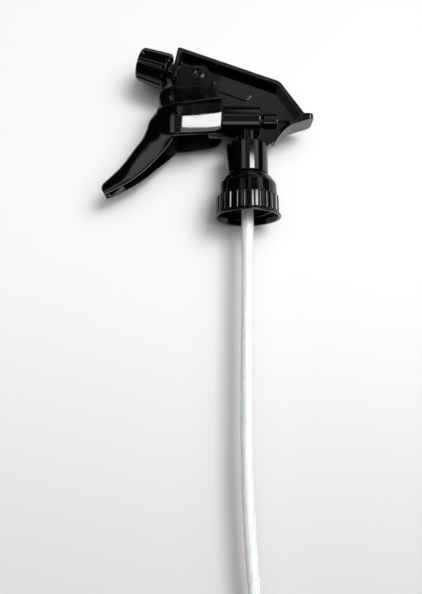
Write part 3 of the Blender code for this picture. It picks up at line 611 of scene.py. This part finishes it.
def make_body():
    """The housing, one moulding, with its edges rounded."""
    body = piece("housing_moulding", prism(web_outline(), -WEB_HALF, WEB_HALF))
    front, rear = NOZZLE_BASE.x + 0.5 * MM, 6.0 * MM
    block = rounded([
        (front, duct_line(front, 2.2 * MM)), (2.6 * MM, duct_line(2.6 * MM, -0.2 * MM)), (rear, 47.6 * MM),
        (rear, PUMP_Z), (-18.0 * MM, PUMP_Z), (-18.0 * MM, 45.2 * MM), (front, duct_line(front, -4.6 * MM)),
    ], [0.1 * MM, 2.0 * MM, 1.6 * MM, 0.1 * MM, 0.1 * MM, 0.1 * MM, 0.1 * MM], 4)
    duct = rounded([
        (front, duct_line(front, 3.2 * MM)), (2.8 * MM, duct_line(2.8 * MM, -0.4 * MM)),
        (-0.6 * MM, duct_line(-0.6 * MM, -5.0 * MM)), (front, duct_line(front, -3.4 * MM)),
    ], 1.5 * MM, 6)
    pin_end = EAR_OUTER - 0.1 * MM
    pin = lathe_profile([
        (0, -pin_end + 0.3 * MM), (1.3 * MM, -pin_end + 0.3 * MM), (1.5 * MM, -pin_end),
        (TRUNNION_R, -pin_end), (TRUNNION_R, pin_end), (1.5 * MM, pin_end),
        (1.3 * MM, pin_end - 0.3 * MM), (0, pin_end - 0.3 * MM),
    ], 0.25 * MM)
    rib = box_outline(PLUG_REAR + 0.4 * MM, 26.4 * MM, 37.1 * MM, 38.3 * MM)
    column_top = PUMP_Z - 3.3 * MM
    neck = lathe_profile([
        (0, 3.4 * MM), (THROAT_R, 3.4 * MM), (THROAT_R, NECK_LOW - 0.5 * MM), (NECK_R, NECK_LOW),
        (NECK_R, NECK_TOP), (5.8 * MM, NECK_TOP + 0.4 * MM), (5.6 * MM, column_top), (0, column_top),
    ], 0.7 * MM, 6)
    spud = lathe_profile([
        (0, -3 * MM), (SPUD_R, -3 * MM), (SPUD_R, 11.6 * MM), (SPUD_TIP_R, 11.9 * MM),
        (SPUD_TIP_R, SPUD_LENGTH), (0, SPUD_LENGTH),
    ], 0.25 * MM)
    cylinder = lathe_profile([
        (0, CYLINDER_FRONT), (CYLINDER_R, CYLINDER_FRONT), (CYLINDER_R, CYLINDER_REAR), (0, CYLINDER_REAR),
    ], 0.6 * MM)
    combine(body, [
        piece("flange", softened(prism(flange_outline(), -FLANGE_HALF, FLANGE_HALF), 0.5 * MM, 4)),
        saddle(),
        piece("block", softened(prism(block, -BLOCK_HALF, BLOCK_HALF), 0.45 * MM)),
        piece("duct", softened(prism(duct, -DUCT_HALF, DUCT_HALF), 0.4 * MM)),
        piece("boss", softened(rod(4.4 * MM, -8.8 * MM, 8.8 * MM), 0.4 * MM), along_y(PIVOT)),
        piece("pins", turned(pin, 64), along_y(PIVOT)),
        piece("rib", softened(prism(rib, -3.2 * MM, 3.2 * MM), 0.25 * MM, 2)),
        piece("neck", turned(neck)),
        piece("cylinder", turned(cylinder, 128), along_x()),
        piece("spud", turned(spud, 72), along_nozzle()),
    ], "UNION")
    combine(body, body_cutters(), "DIFFERENCE")
    return even_normals(body)


def body_cutters():
    over = 1.0 * MM
    socket_r, step = SPIGOT_R + 0.3 * MM, SPIGOT_TOP + 0.3 * MM
    neck_bore = [
        (0, 3.4 * MM - over), (socket_r, 3.4 * MM - over), (socket_r, step),
        (4.6 * MM, step), (4.6 * MM, 19 * MM), (0, 19 * MM),
    ]
    cylinder_bore = [
        (0, CYLINDER_FRONT - over), (CYLINDER_BORE_R + 0.9 * MM, CYLINDER_FRONT - over),
        (CYLINDER_BORE_R, CYLINDER_FRONT + 0.9 * MM), (CYLINDER_BORE_R, CYLINDER_FLOOR),
        (0, CYLINDER_FLOOR),
    ]
    outlet_x = 3.2 * MM
    outlet_length = (NOZZLE_BASE - Vector((outlet_x, 0, duct_line(outlet_x)))).length
    half = PLUG_R + 0.3 * MM
    seat = box_outline(CYLINDER_REAR - 0.05 * MM, PLUG_REAR + 0.4 * MM, PUMP_Z - half, PUMP_Z + half)
    inlet = rod(1.3 * MM, 18 * MM, PUMP_Z - 4 * MM, 24)
    outlet = rod(OUTLET_BORE_R, -outlet_length, CHAMBER_FROM + over, 24)
    return [
        piece("neck_bore", turned(neck_bore, 72)),
        piece("inlet_port", inlet, Matrix.Translation((1.6 * MM, 0, 0))),
        piece("cylinder_bore", turned(cylinder_bore, ROUND), along_x()),
        piece("plug_hole", rod(2.3 * MM, 0, PLUG_REAR, 32), along_x()),
        piece("plug_seat", prism(seat, -5 * MM, 5 * MM)),
        piece("outlet_port", rod(OUTLET_BORE_R, PUMP_Z + 5 * MM, duct_line(outlet_x), 24),
              Matrix.Translation((outlet_x, 0, 0))),
        piece("outlet_bore", outlet, along_nozzle()),
        piece("chamber", rod(CHAMBER_R, CHAMBER_FROM, SPUD_LENGTH + over, 40), along_nozzle()),
    ]


def channel_ring(station):
    """One U-shaped section of the lever: rounded at the finger side and open at the back."""
    front_x, front_z, rear_x, rear_z, half = (value * MM for value in station)
    front = Vector((front_x, 0, front_z))
    depth = Vector((rear_x, 0, rear_z)) - front
    length, into = depth.length, depth.normalized()
    near_tip = min(max((3.6 * MM - front_z) / (1.4 * MM), 0.0), 1.0)
    floor = 2.4 * MM * (1 - near_tip) + (length - 0.4 * MM) * near_tip
    upper = min(max((rear_z - 30 * MM) / (8 * MM), 0.0), 1.0)
    corner, rim = (3.4 + 1.4 * upper) * MM, 0.5 * MM
    flare = 1.2 * MM + 0.6 * max(half - 9.0 * MM, 0.0)
    turn = 1.2
    for _ in range(6):
        start = corner * (1 - math.cos(turn))
        turn = math.atan2(length - start, 2 * flare)
    centre = half - flare - corner * math.sin(turn)
    outline = []
    for k in range(9):
        a = turn * k / 8
        outline.append((corner - corner * math.cos(a), centre + corner * math.sin(a)))
    for k in range(1, 8):
        u = k / 8
        outline.append((start + (length - rim - start) * u, half - flare * (1 - u) ** 2))
    angles = (0, 0.5, 1.0, 1.5)
    outline += [(length - rim + rim * math.sin(a), half - rim + rim * math.cos(a)) for a in angles]
    outline += [(length, half - TRIGGER_WALL + 0.35 * MM), (length - 0.35 * MM, half - TRIGGER_WALL)]
    middle = min(max(0.5 * (start + length), floor + 0.1 * MM), length - 0.37 * MM)
    share = (length - middle) / (length - start)
    outline += [
        (middle, half - flare * share ** 2 - TRIGGER_WALL - 0.1 * MM),
        (min(floor, length - 0.4 * MM), half - flare - 0.35 * corner - TRIGGER_WALL),
    ]
    outline += [(t, -y) for t, y in reversed(outline)]
    return [front + into * t + Vector((0, y, 0)) for t, y in outline]


def wing_ring(station, side, last_x):
    """One section of a wing: a thin shell with rounded edges that bulges beside the pump cylinder."""
    x, top, bottom, half_top, half_middle, half_bottom = (value * MM for value in station)
    steps = 28
    reach = 0.85 * MM
    ahead = min(max((x - last_x + reach) / reach, 0.0), 0.995)
    end = math.sqrt(1 - ahead * ahead)
    outer, inner = [], []
    for i in range(steps + 1):
        t = 0.5 - 0.5 * math.cos(math.pi * i / steps)
        lift = 4 * t * (1 - t)
        half = half_top * (1 - t) + half_bottom * t + (half_middle - 0.5 * (half_top + half_bottom)) * lift
        edge = min(t, 1 - t) * (top - bottom) / (0.85 * MM)
        thin = math.sqrt(1 - (1 - min(edge, 1.0)) ** 2) if edge > 0 else 0.0
        wall = 0.5 * TRIGGER_WALL * max(min(thin, end), 0.06)
        middle = half - 0.5 * TRIGGER_WALL
        z = top + (bottom - top) * t
        outer.append((middle + wall, z))
        inner.append((middle - wall, z))
    return [Vector((x, side * half, z)) for half, z in outer + inner[::-1]]


def make_trigger():
    """The finger lever with its ears, wings and push pad, one moulding."""
    lever = skin([channel_ring(station) for station in through(LEVER, 7)])
    trigger = piece("trigger_moulding", lever)
    ear = [
        (-38.2 * MM, 51.1 * MM), (-34.1 * MM, 63.3 * MM), (-21.2 * MM, 63.3 * MM), (-15.7 * MM, 53.3 * MM),
    ]
    strip = rounded([
        (-41.8 * MM, 41.6 * MM), (-41.8 * MM, 51.2 * MM), (-38.0 * MM, 53.0 * MM),
        (-16.4 * MM, 54.4 * MM), (-13.4 * MM, 47.6 * MM), (-13.4 * MM, 45.2 * MM),
    ], 0.8 * MM, 3)
    stations = through(WING, 7)
    last = stations[-1]
    fine = [tuple(a + (b - a) * k / 6 for a, b in zip(stations[-3], last)) for k in range(1, 7)]
    stations = stations[:-2] + fine
    parts = []
    for side in (-1, 1):
        rings = [wing_ring(station, side, last[0] * MM) for station in stations]
        parts.append(piece("wing", skin(rings)))
        low, high = sorted((side * EAR_INNER, side * (EAR_OUTER - 0.8 * MM)))
        parts.append(piece("strip", softened(prism(strip, low, high), 0.2 * MM, 2)))
        low, high = sorted((side * EAR_INNER, side * EAR_OUTER))
        parts.append(piece("ear", softened(prism(rounded(ear, 2.4 * MM, 8), low, high), 0.42 * MM, 4)))
        ring_top = EAR_OUTER + 0.6 * MM
        ring = [(0, EAR_INNER), (EAR_RING_R, EAR_INNER), (EAR_RING_R, ring_top), (0, ring_top)]
        ring = lathe_profile(ring, 0.35 * MM)
        place = along_y(PIVOT) @ Matrix.Rotation(math.pi if side > 0 else 0.0, 4, "X")
        parts.append(piece("ring", turned(ring, 72), place))
    pad = [
        (PUSH_PAD_X - 5 * MM, PUMP_Z - 8 * MM), (PUSH_PAD_X, PUMP_Z - 5 * MM),
        (PUSH_PAD_X, PUMP_Z + 4 * MM), (PUSH_PAD_X - 1.2 * MM, PUMP_Z + 5.5 * MM),
    ]
    parts.append(piece("pad", softened(prism(pad, -2.2 * MM, 2.2 * MM), 0.3 * MM, 2)))
    combine(trigger, parts, "UNION")
    hole = piece("hole", rod(EAR_HOLE_R, -20 * MM, 20 * MM, 72), along_y(PIVOT))
    combine(trigger, [hole], "DIFFERENCE")
    return even_normals(trigger)


def make_pump():
    """Plug, piston, its two seals and the return spring."""
    plug = lathe_profile([
        (0, CYLINDER_FLOOR - 0.2 * MM), (2.0 * MM, CYLINDER_FLOOR - 0.2 * MM), (2.0 * MM, 7.0 * MM),
        (PLUG_R - 0.6 * MM, 7.0 * MM), (PLUG_R - 0.6 * MM, 8.2 * MM), (PLUG_R, 8.4 * MM),
        (PLUG_R, PLUG_REAR), (0, PLUG_REAR),
    ], 0.45 * MM)
    made = {"rear_plug": even_normals(piece("plug_moulding", turned(plug, 72), along_x()))}
    nose_r, stem_r, seal_bed_r, head_r = 2.5 * MM, 4.2 * MM, 5.0 * MM, 6.5 * MM
    nose_x = PUSH_PAD_X + 0.3 * MM + nose_r
    profile = [(0, nose_x - nose_r)]
    angles = [0.2 * k for k in range(1, 8)]
    profile += [(nose_r * math.sin(a), nose_x - nose_r * math.cos(a)) for a in angles]
    profile += [
        (nose_r, nose_x + 1.5 * MM), (stem_r, nose_x + 4.5 * MM), (stem_r, -18.2 * MM),
        (head_r, -17.6 * MM), (head_r, -17.0 * MM), (seal_bed_r, -17.0 * MM), (seal_bed_r, -15.6 * MM),
        (head_r, -15.6 * MM),
        (head_r, -14.2 * MM), (seal_bed_r, -14.2 * MM), (seal_bed_r, -12.2 * MM), (head_r, -12.2 * MM),
        (head_r, PISTON_REAR), (3.2 * MM, PISTON_REAR), (2.8 * MM, PISTON_REAR + 4 * MM),
        (0, PISTON_REAR + 4 * MM),
    ]
    piston = turned(lathe_profile(profile, 0.2 * MM, 2))
    made["piston"] = even_normals(piece("piston_moulding", piston, along_x()))
    for name, front, rear in (("vent_seal", -16.9, -15.7), ("pressure_seal", -14.0, -12.4)):
        lip, bed = CYLINDER_BORE_R - 0.1 * MM, seal_bed_r + 0.15 * MM
        ring = [(bed, front * MM), (lip - 0.3 * MM, front * MM), (lip, rear * MM), (bed, rear * MM)]
        made[name] = piece(name + "_ring", turned(lathe_profile(ring, 0.15 * MM, 2)), along_x())
    low, high = PISTON_REAR + 0.25 * MM, CYLINDER_FLOOR - 0.25 * MM
    made["return_spring"] = piece("return_coil", coil(4.7 * MM, 0.45 * MM, low, high, 5, 40, 12), along_x())
    return made


def make_neck():
    """Retainer, ball and its cage, and the gasket."""
    collar_r, collar_low, flange_r = 4.5 * MM, -5.0 * MM, 13.0 * MM
    socket_r = TUBE_R + 0.1 * MM
    retainer = lathe_profile([
        (socket_r, collar_low), (collar_r - 0.6 * MM, collar_low), (collar_r, collar_low + 1.2 * MM),
        (collar_r, 1.6 * MM), (flange_r, 1.6 * MM), (flange_r, 3.05 * MM), (SPIGOT_R, 3.05 * MM),
        (SPIGOT_R, SPIGOT_TOP), (BALL_SEAT_R, SPIGOT_TOP), (BALL_SEAT_R, TUBE_TOP + 0.3 * MM),
        (socket_r, TUBE_TOP + 0.3 * MM),
    ], 0.25 * MM, 3)
    made = {"tube_retainer": even_normals(piece("retainer_moulding", turned(retainer)))}
    seat_height = math.sqrt(INLET_BALL_R ** 2 - BALL_SEAT_R ** 2)
    ball_z = SPIGOT_TOP + seat_height + 0.15 * MM
    made["inlet_ball"] = piece("inlet_check_ball", ball(INLET_BALL_R), Matrix.Translation((0, 0, ball_z)))
    cage_low, cage_top = SPIGOT_TOP + 0.3 * MM, 18.7 * MM
    cage = piece("cage_moulding", turned([
        (2.6 * MM, cage_low), (4.2 * MM, cage_low), (4.2 * MM, cage_top), (1.1 * MM, cage_top),
        (1.1 * MM, cage_top - 1.2 * MM), (2.6 * MM, cage_top - 1.2 * MM),
    ], 72))
    slot = box_outline(1.3 * MM, 6 * MM, 14 * MM, 18 * MM)
    turns = [Matrix.Rotation(2 * math.pi * k / 3, 4, "Z") for k in range(3)]
    slots = [piece("slot", prism(slot, -0.8 * MM, 0.8 * MM), turn) for turn in turns]
    made["ball_cage"] = combine(cage, slots, "DIFFERENCE")
    gasket = box_outline(9.0 * MM, 13.6 * MM, 0, 1.3 * MM)
    made["neck_gasket"] = piece("gasket_ring", turned(lathe_profile(gasket, 0.25 * MM)))
    return made


def rib_swell(angle, radius, height):
    """The closure's ribs: rounded bars that fade at both ends."""
    low, high = CLOSURE_LOW + 1.2 * MM, -2.2 * MM
    if radius < CLOSURE_BORE_R + 0.9 * MM or not low < height < high:
        return radius
    share = abs(((angle * RIB_COUNT / (2 * math.pi)) % 1.0) - 0.5) * 2
    bar = min(max((share - 0.42) / 0.2, 0.0), 1.0)
    fade = min(1.0, (height - low) / (0.3 * MM), (high - height) / (0.5 * MM))
    return radius + 0.62 * MM * bar * bar * (3 - 2 * bar) * math.sqrt(max(fade, 0.0))


def make_closure():
    """The screw closure, with ribs outside and a thread inside."""
    wall_low, bore = 15.35 * MM, CLOSURE_BORE_R
    profile = lathe_profile([
        (15.6 * MM, CLOSURE_LOW), (CLOSURE_RIM_R, CLOSURE_LOW), (CLOSURE_RIM_R, CLOSURE_LOW + 0.8 * MM),
        (wall_low, CLOSURE_LOW + 1.5 * MM), (15.1 * MM, -2.4 * MM), (14.7 * MM, 3.9 * MM),
        (13.7 * MM, 5.4 * MM), (13.2 * MM, 5.5 * MM), (12.7 * MM, 6.9 * MM), (11.4 * MM, CLOSURE_TOP),
        (CLOSURE_HOLE_R, CLOSURE_TOP), (CLOSURE_HOLE_R, CLOSURE_CEILING), (bore, CLOSURE_CEILING),
        (bore, CLOSURE_LOW + 2.4 * MM),
    ], 0.55 * MM, 5)
    fine = []
    for here, there in zip(profile, profile[1:] + profile[:1]):
        fine.append(here)
        outside = min(here[0], there[0]) > bore + 0.9 * MM and abs(here[1] - there[1]) > 3 * MM
        if outside:
            cuts = 22
            fine += [tuple(Vector(here).lerp(Vector(there), k / cuts)) for k in range(1, cuts)]
    closure = piece("closure_moulding", turned(fine, 12 * RIB_COUNT, rib_swell))
    steps, turns = 72, 1.25
    rings = []
    for i in range(round(steps * turns) + 1):
        angle = 2 * math.pi * i / steps
        z = -3.2 * MM - THREAD_PITCH * i / steps
        end = min(1.0, 0.2 + 0.8 * min(i, round(steps * turns) - i) / 8)
        inner, root = bore - THREAD_DEPTH * end, bore + 0.5 * MM
        section = [(root, 1.3 * MM), (root, -1.3 * MM), (inner, -0.5 * MM), (inner, 0.5 * MM)]
        section = rounded(section, 0.3 * MM, 3)
        rings.append([Vector((r * math.cos(angle), r * math.sin(angle), z + dz)) for r, dz in section])
    return even_normals(combine(closure, [piece("thread", skin(rings))], "UNION"))


def make_tube():
    """The dip tube: hollow, a little bent, its lower end cut at a slant."""
    sides, slant = 48, 0.5
    centres = [Vector((x * MM, 0, z * MM)) for x, z in through(TUBE_ROUTE, 10)]
    count = len(centres)
    rings = []
    for radius, order in ((TUBE_R, range(count)), (TUBE_BORE_R, reversed(range(count)))):
        for i in order:
            before, after = centres[max(i - 1, 0)], centres[min(i + 1, count - 1)]
            along = (after - before).normalized()
            across = Vector((-along.z, 0, along.x))
            ring = []
            for k in range(sides):
                a = 2 * math.pi * k / sides
                point = centres[i] + radius * (across * math.cos(a) + Vector((0, math.sin(a), 0)))
                if i == count - 1:
                    point += along * radius * slant * math.cos(a)
                ring.append(point)
            rings.append(ring)
    return even_normals(piece("tube_extrusion", skin(rings + [rings[0]], closed_ends=False)))


def flute_swell(angle, radius, height):
    """The cap's finger flutes: rounded grooves that run out near both ends."""
    length = CAP_FRONT - CAP_REAR
    if radius < CAP_FRONT_R - 0.3 * MM:
        return radius
    share = abs(((angle * CAP_FLUTES / (2 * math.pi)) % 1.0) - 0.5) * 2
    groove = min(max((0.46 - share) / 0.3, 0.0), 1.0)
    rear_fade, front_fade = (height - 0.7 * MM) / (0.8 * MM), (length - 1.0 * MM - height) / (1.2 * MM)
    fade = min(max(rear_fade, 0.0), max(front_fade, 0.0), 1.0)
    return radius - 0.75 * MM * groove * groove * (3 - 2 * groove) * fade


def make_nozzle():
    """Outlet ball and spring, swirl plug, seal ring and the fluted cap."""
    ball_at = CHAMBER_FROM + math.sqrt(OUTLET_BALL_R ** 2 - OUTLET_BORE_R ** 2) + 0.15 * MM
    made = {"outlet_ball": piece("outlet_check_ball", ball(OUTLET_BALL_R), along_nozzle(ball_at))}
    spring_from, plug_from = ball_at + OUTLET_BALL_R + 0.15 * MM, 10.2 * MM
    spring = coil(1.75 * MM, 0.22 * MM, spring_from, plug_from - 0.2 * MM, 4, 32, 10)
    made["outlet_spring"] = piece("outlet_coil", spring, along_nozzle())
    plug = lathe_profile([
        (0, plug_from), (1.3 * MM, plug_from), (1.3 * MM, 11.6 * MM), (CHAMBER_R - 0.15 * MM, 11.8 * MM),
        (CHAMBER_R - 0.15 * MM, SPUD_LENGTH + 0.3 * MM), (3.6 * MM, SPUD_LENGTH + 0.3 * MM),
        (3.6 * MM, SPUD_LENGTH + 1.2 * MM), (0, SPUD_LENGTH + 1.2 * MM),
    ], 0.15 * MM, 2)
    swirl = piece("swirl_moulding", turned(plug, 64), along_nozzle())
    groove = box_outline(0.9 * MM, 3 * MM, 0, SPUD_LENGTH)
    places = [along_nozzle(plug_from - 1 * MM) @ Matrix.Rotation(math.pi * k, 4, "Z") for k in range(2)]
    slots = [piece("groove", prism(groove, -0.5 * MM, 0.5 * MM), place) for place in places]
    made["swirl_plug"] = combine(swirl, slots, "DIFFERENCE")
    ring_at, ring_r, thick = 13.6 * MM, SPUD_TIP_R + 0.75 * MM, 0.6 * MM
    angles = [math.pi * k / 10 for k in range(20)]
    ring = [(ring_r + thick * math.cos(a), thick * math.sin(a)) for a in angles]
    made["nozzle_seal"] = piece("seal_ring", turned(ring), along_nozzle(ring_at))
    length, sleeve_r = CAP_FRONT - CAP_REAR, 6.9 * MM
    front_wall = length - 2.6 * MM
    cap = lathe_profile([
        (CAP_REAR_R - 1.4 * MM, 0), (CAP_REAR_R, 0), (CAP_FRONT_R + 0.08 * MM, length - 1.0 * MM),
        (CAP_FRONT_R - 0.6 * MM, length), (3.2 * MM, length), (2.6 * MM, length - 0.9 * MM),
        (0.5 * MM, length - 0.9 * MM), (0.5 * MM, front_wall), (6.1 * MM, front_wall), (6.1 * MM, 8.0 * MM),
        (SPUD_R + 0.25 * MM, 7.6 * MM), (SPUD_R + 0.25 * MM, 1.2 * MM), (sleeve_r, 1.2 * MM),
        (sleeve_r, length - 3.6 * MM), (CAP_FRONT_R - 1.2 * MM, length - 3.6 * MM),
    ], 0.45 * MM, 5)
    fine = []
    for here, there in zip(cap, cap[1:] + cap[:1]):
        fine.append(here)
        if min(here[0], there[0]) > CAP_FRONT_R - 0.1 * MM and abs(here[1] - there[1]) > 3 * MM:
            fine += [tuple(Vector(here).lerp(Vector(there), k / 24)) for k in range(1, 24)]
    cap = piece("cap_moulding", turned(fine, 20 * CAP_FLUTES, flute_swell), along_nozzle(CAP_REAR))
    made["nozzle_cap"] = even_normals(cap)
    return made


# ---- the object ----


def make_object():
    made = {"body": make_body(), "trigger": make_trigger()}
    made.update({"closure": make_closure(), "dip_tube": make_tube()})
    for group in (make_pump(), make_neck(), make_nozzle()):
        made.update(group)
    white = (0.83, 0.83, 0.8)
    looks = {
        "body": black_plastic("housing_black", 0.04, 1.0, 0.0),
        "trigger": black_plastic("trigger_black", 0.05, 1.4, 0.4),
        "closure": black_plastic("closure_black", 0.045, 0.6, 0.8, 0.34),
        "nozzle_cap": black_plastic("cap_black", 0.09, 0.7, 1.2, 0.24),
        "rear_plug": black_plastic("plug_black", 0.06, 0.5, 1.6),
        "piston": natural_plastic("piston_natural", white, 0.34),
        "tube_retainer": natural_plastic("retainer_natural", white, 0.38),
        "ball_cage": natural_plastic("cage_natural", white, 0.4),
        "swirl_plug": natural_plastic("swirl_natural", white, 0.36),
        "vent_seal": rubber("seal_rubber", (0.035, 0.035, 0.035)),
        "neck_gasket": rubber("gasket_foam", (0.62, 0.62, 0.59)),
        "return_spring": steel("spring_wire", 0.24),
        "inlet_ball": steel("ball_steel", 0.14),
        "dip_tube": milky_tube("tube_milky"),
    }
    looks["pressure_seal"] = looks["nozzle_seal"] = looks["vent_seal"]
    looks["outlet_spring"] = looks["return_spring"]
    looks["outlet_ball"] = looks["inlet_ball"]
    bodies = frame["record"]["behaviour"]["bodies"]
    for node, obj in made.items():
        obj.data.materials.clear()
        obj.data.materials.append(looks[node])
        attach(obj, next(body for body, nodes in bodies.items() if node in nodes))
        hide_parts(node)
    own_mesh(made["return_spring"])
    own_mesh(made["outlet_spring"])


# ---- table, light and camera ----


def make_table():
    """The pale table behind the object, its colour painted darker towards the bottom as painted shade. It
    is clear from behind, so that it hides nothing.
    """
    corners = box_outline(-TABLE_REACH, TABLE_REACH, -TABLE_REACH, TABLE_REACH)
    bm = bmesh.new()
    bm.faces.new([bm.verts.new((x, TABLE_Y, z)) for x, z in corners])
    mesh = bpy.data.meshes.new("table")
    bm.to_mesh(mesh)
    bm.free()
    table = bpy.data.objects.new("table", mesh)
    bpy.context.scene.collection.objects.link(table)
    nodes = Nodes("table_white")
    height = nodes.add("SeparateXYZ")
    nodes.join(nodes.add("TexCoord").outputs["Object"], height.inputs["Vector"])
    # painted shade: the colour darkens towards the bottom of the table, standing in for light falling off
    # there
    fade = nodes.spread(height.outputs["Z"], -0.25, 0.0, 0.0, 1.0)
    shade = nodes.tint(fade, TABLE_SHADED_LOW, TABLE_LIT_HIGH)
    nodes.join(shade, nodes.shader.inputs["Base Color"])
    nodes.shader.inputs["Roughness"].default_value = 0.5
    nodes.shader.inputs["Specular IOR Level"].default_value = 0.2
    nodes.join(nodes.bump(nodes.noise(700, 3.0), 0.00002, 0.3), nodes.shader.inputs["Normal"])
    mix = nodes.add("MixShader")
    nodes.join(nodes.add("NewGeometry").outputs["Backfacing"], mix.inputs["Fac"])
    nodes.join(nodes.shader.outputs["BSDF"], mix.inputs[1])
    nodes.join(nodes.add("BsdfTransparent").outputs["BSDF"], mix.inputs[2])
    nodes.join(mix.outputs["Shader"], nodes.tree.nodes["Material Output"].inputs["Surface"])
    mesh.materials.append(nodes.material)


def make_surroundings():
    """A dark studio with a bright window and dim panels, and pale air behind the object."""
    world = bpy.data.worlds.new("studio")
    bpy.context.scene.world = world
    world.use_nodes = True
    tree = world.node_tree
    tree.nodes.clear()

    def node(kind, **settings):
        made = tree.nodes.new("ShaderNode" + kind)
        for key, value in settings.items():
            setattr(made, key, value)
        return made

    def maths(operation, *values):
        made = node("Math", operation=operation)
        for socket, value in zip(made.inputs, values):
            if isinstance(value, (int, float)):
                socket.default_value = value
            else:
                tree.links.new(value, socket)
        return made.outputs["Value"]

    def step(value, low, high):
        made = node("MapRange", interpolation_type="SMOOTHSTEP")
        made.inputs["From Min"].default_value = low
        made.inputs["From Max"].default_value = high
        tree.links.new(value, made.inputs["Value"])
        return made.outputs["Result"]

    def patch(left, right, low, high, soft):
        def within(angle, start, end):
            rising, falling = step(angle, start - soft, start + soft), step(angle, end + soft, end - soft)
            return maths("MULTIPLY", rising, falling)

        return maths("MULTIPLY", within(azimuth, left, right), within(elevation, low, high))

    apart = node("SeparateXYZ")
    tree.links.new(node("TexCoord").outputs["Generated"], apart.inputs["Vector"])
    x, y, z = apart.outputs
    azimuth = maths("MULTIPLY", maths("ARCTAN2", x, maths("MULTIPLY", y, -1.0)), 180 / math.pi)
    elevation = maths("MULTIPLY", maths("ARCSINE", z), 180 / math.pi)
    light = REST_LIGHT
    for strength, *region in LIGHTS:
        light = maths("ADD", maths("MULTIPLY", patch(*region), strength), light)
    light = maths("MAXIMUM", light, 0.0)
    seen = node("LightPath").outputs["Is Camera Ray"]
    air = node("Background")
    air.inputs["Color"].default_value = PALE_AIR
    glow = node("Background")
    glow.inputs["Color"].default_value = (1, 1, 1, 1)
    tree.links.new(light, glow.inputs["Strength"])
    mix = node("MixShader")
    tree.links.new(seen, mix.inputs["Fac"])
    tree.links.new(glow.outputs["Background"], mix.inputs[1])
    tree.links.new(air.outputs["Background"], mix.inputs[2])
    out = node("OutputWorld")
    tree.links.new(mix.outputs["Shader"], out.inputs["Surface"])


def make_lamp():
    """A broad soft lamp that lights the table and the pale pieces, and that gloss doesn't mirror."""
    lamp = bpy.data.lights.new("soft_lamp", "AREA")
    lamp.shape = "DISK"
    lamp.size = LAMP_SIZE
    lamp.energy = LAMP_POWER
    obj = bpy.data.objects.new("soft_lamp", lamp)
    bpy.context.scene.collection.objects.link(obj)
    obj.location = LAMP_PLACE
    obj.rotation_euler = (LAMP_AIM - obj.location).to_track_quat("-Z", "Y").to_euler()
    obj.visible_glossy = False
    obj.visible_camera = False


def make_camera():
    camera = bpy.data.cameras.new("camera")
    camera.lens = CAMERA_LENS
    camera.sensor_width = CAMERA_SENSOR
    camera.clip_start = 0.01
    obj = bpy.data.objects.new("camera", camera)
    bpy.context.scene.collection.objects.link(obj)
    obj.location = CAMERA_PLACE
    obj.rotation_euler = (CAMERA_TILT, 0, 0)
    bpy.context.scene.camera = obj
    bpy.context.scene.view_settings.view_transform = "Standard"


make_camera()
make_object()
make_table()
make_surroundings()
make_lamp()
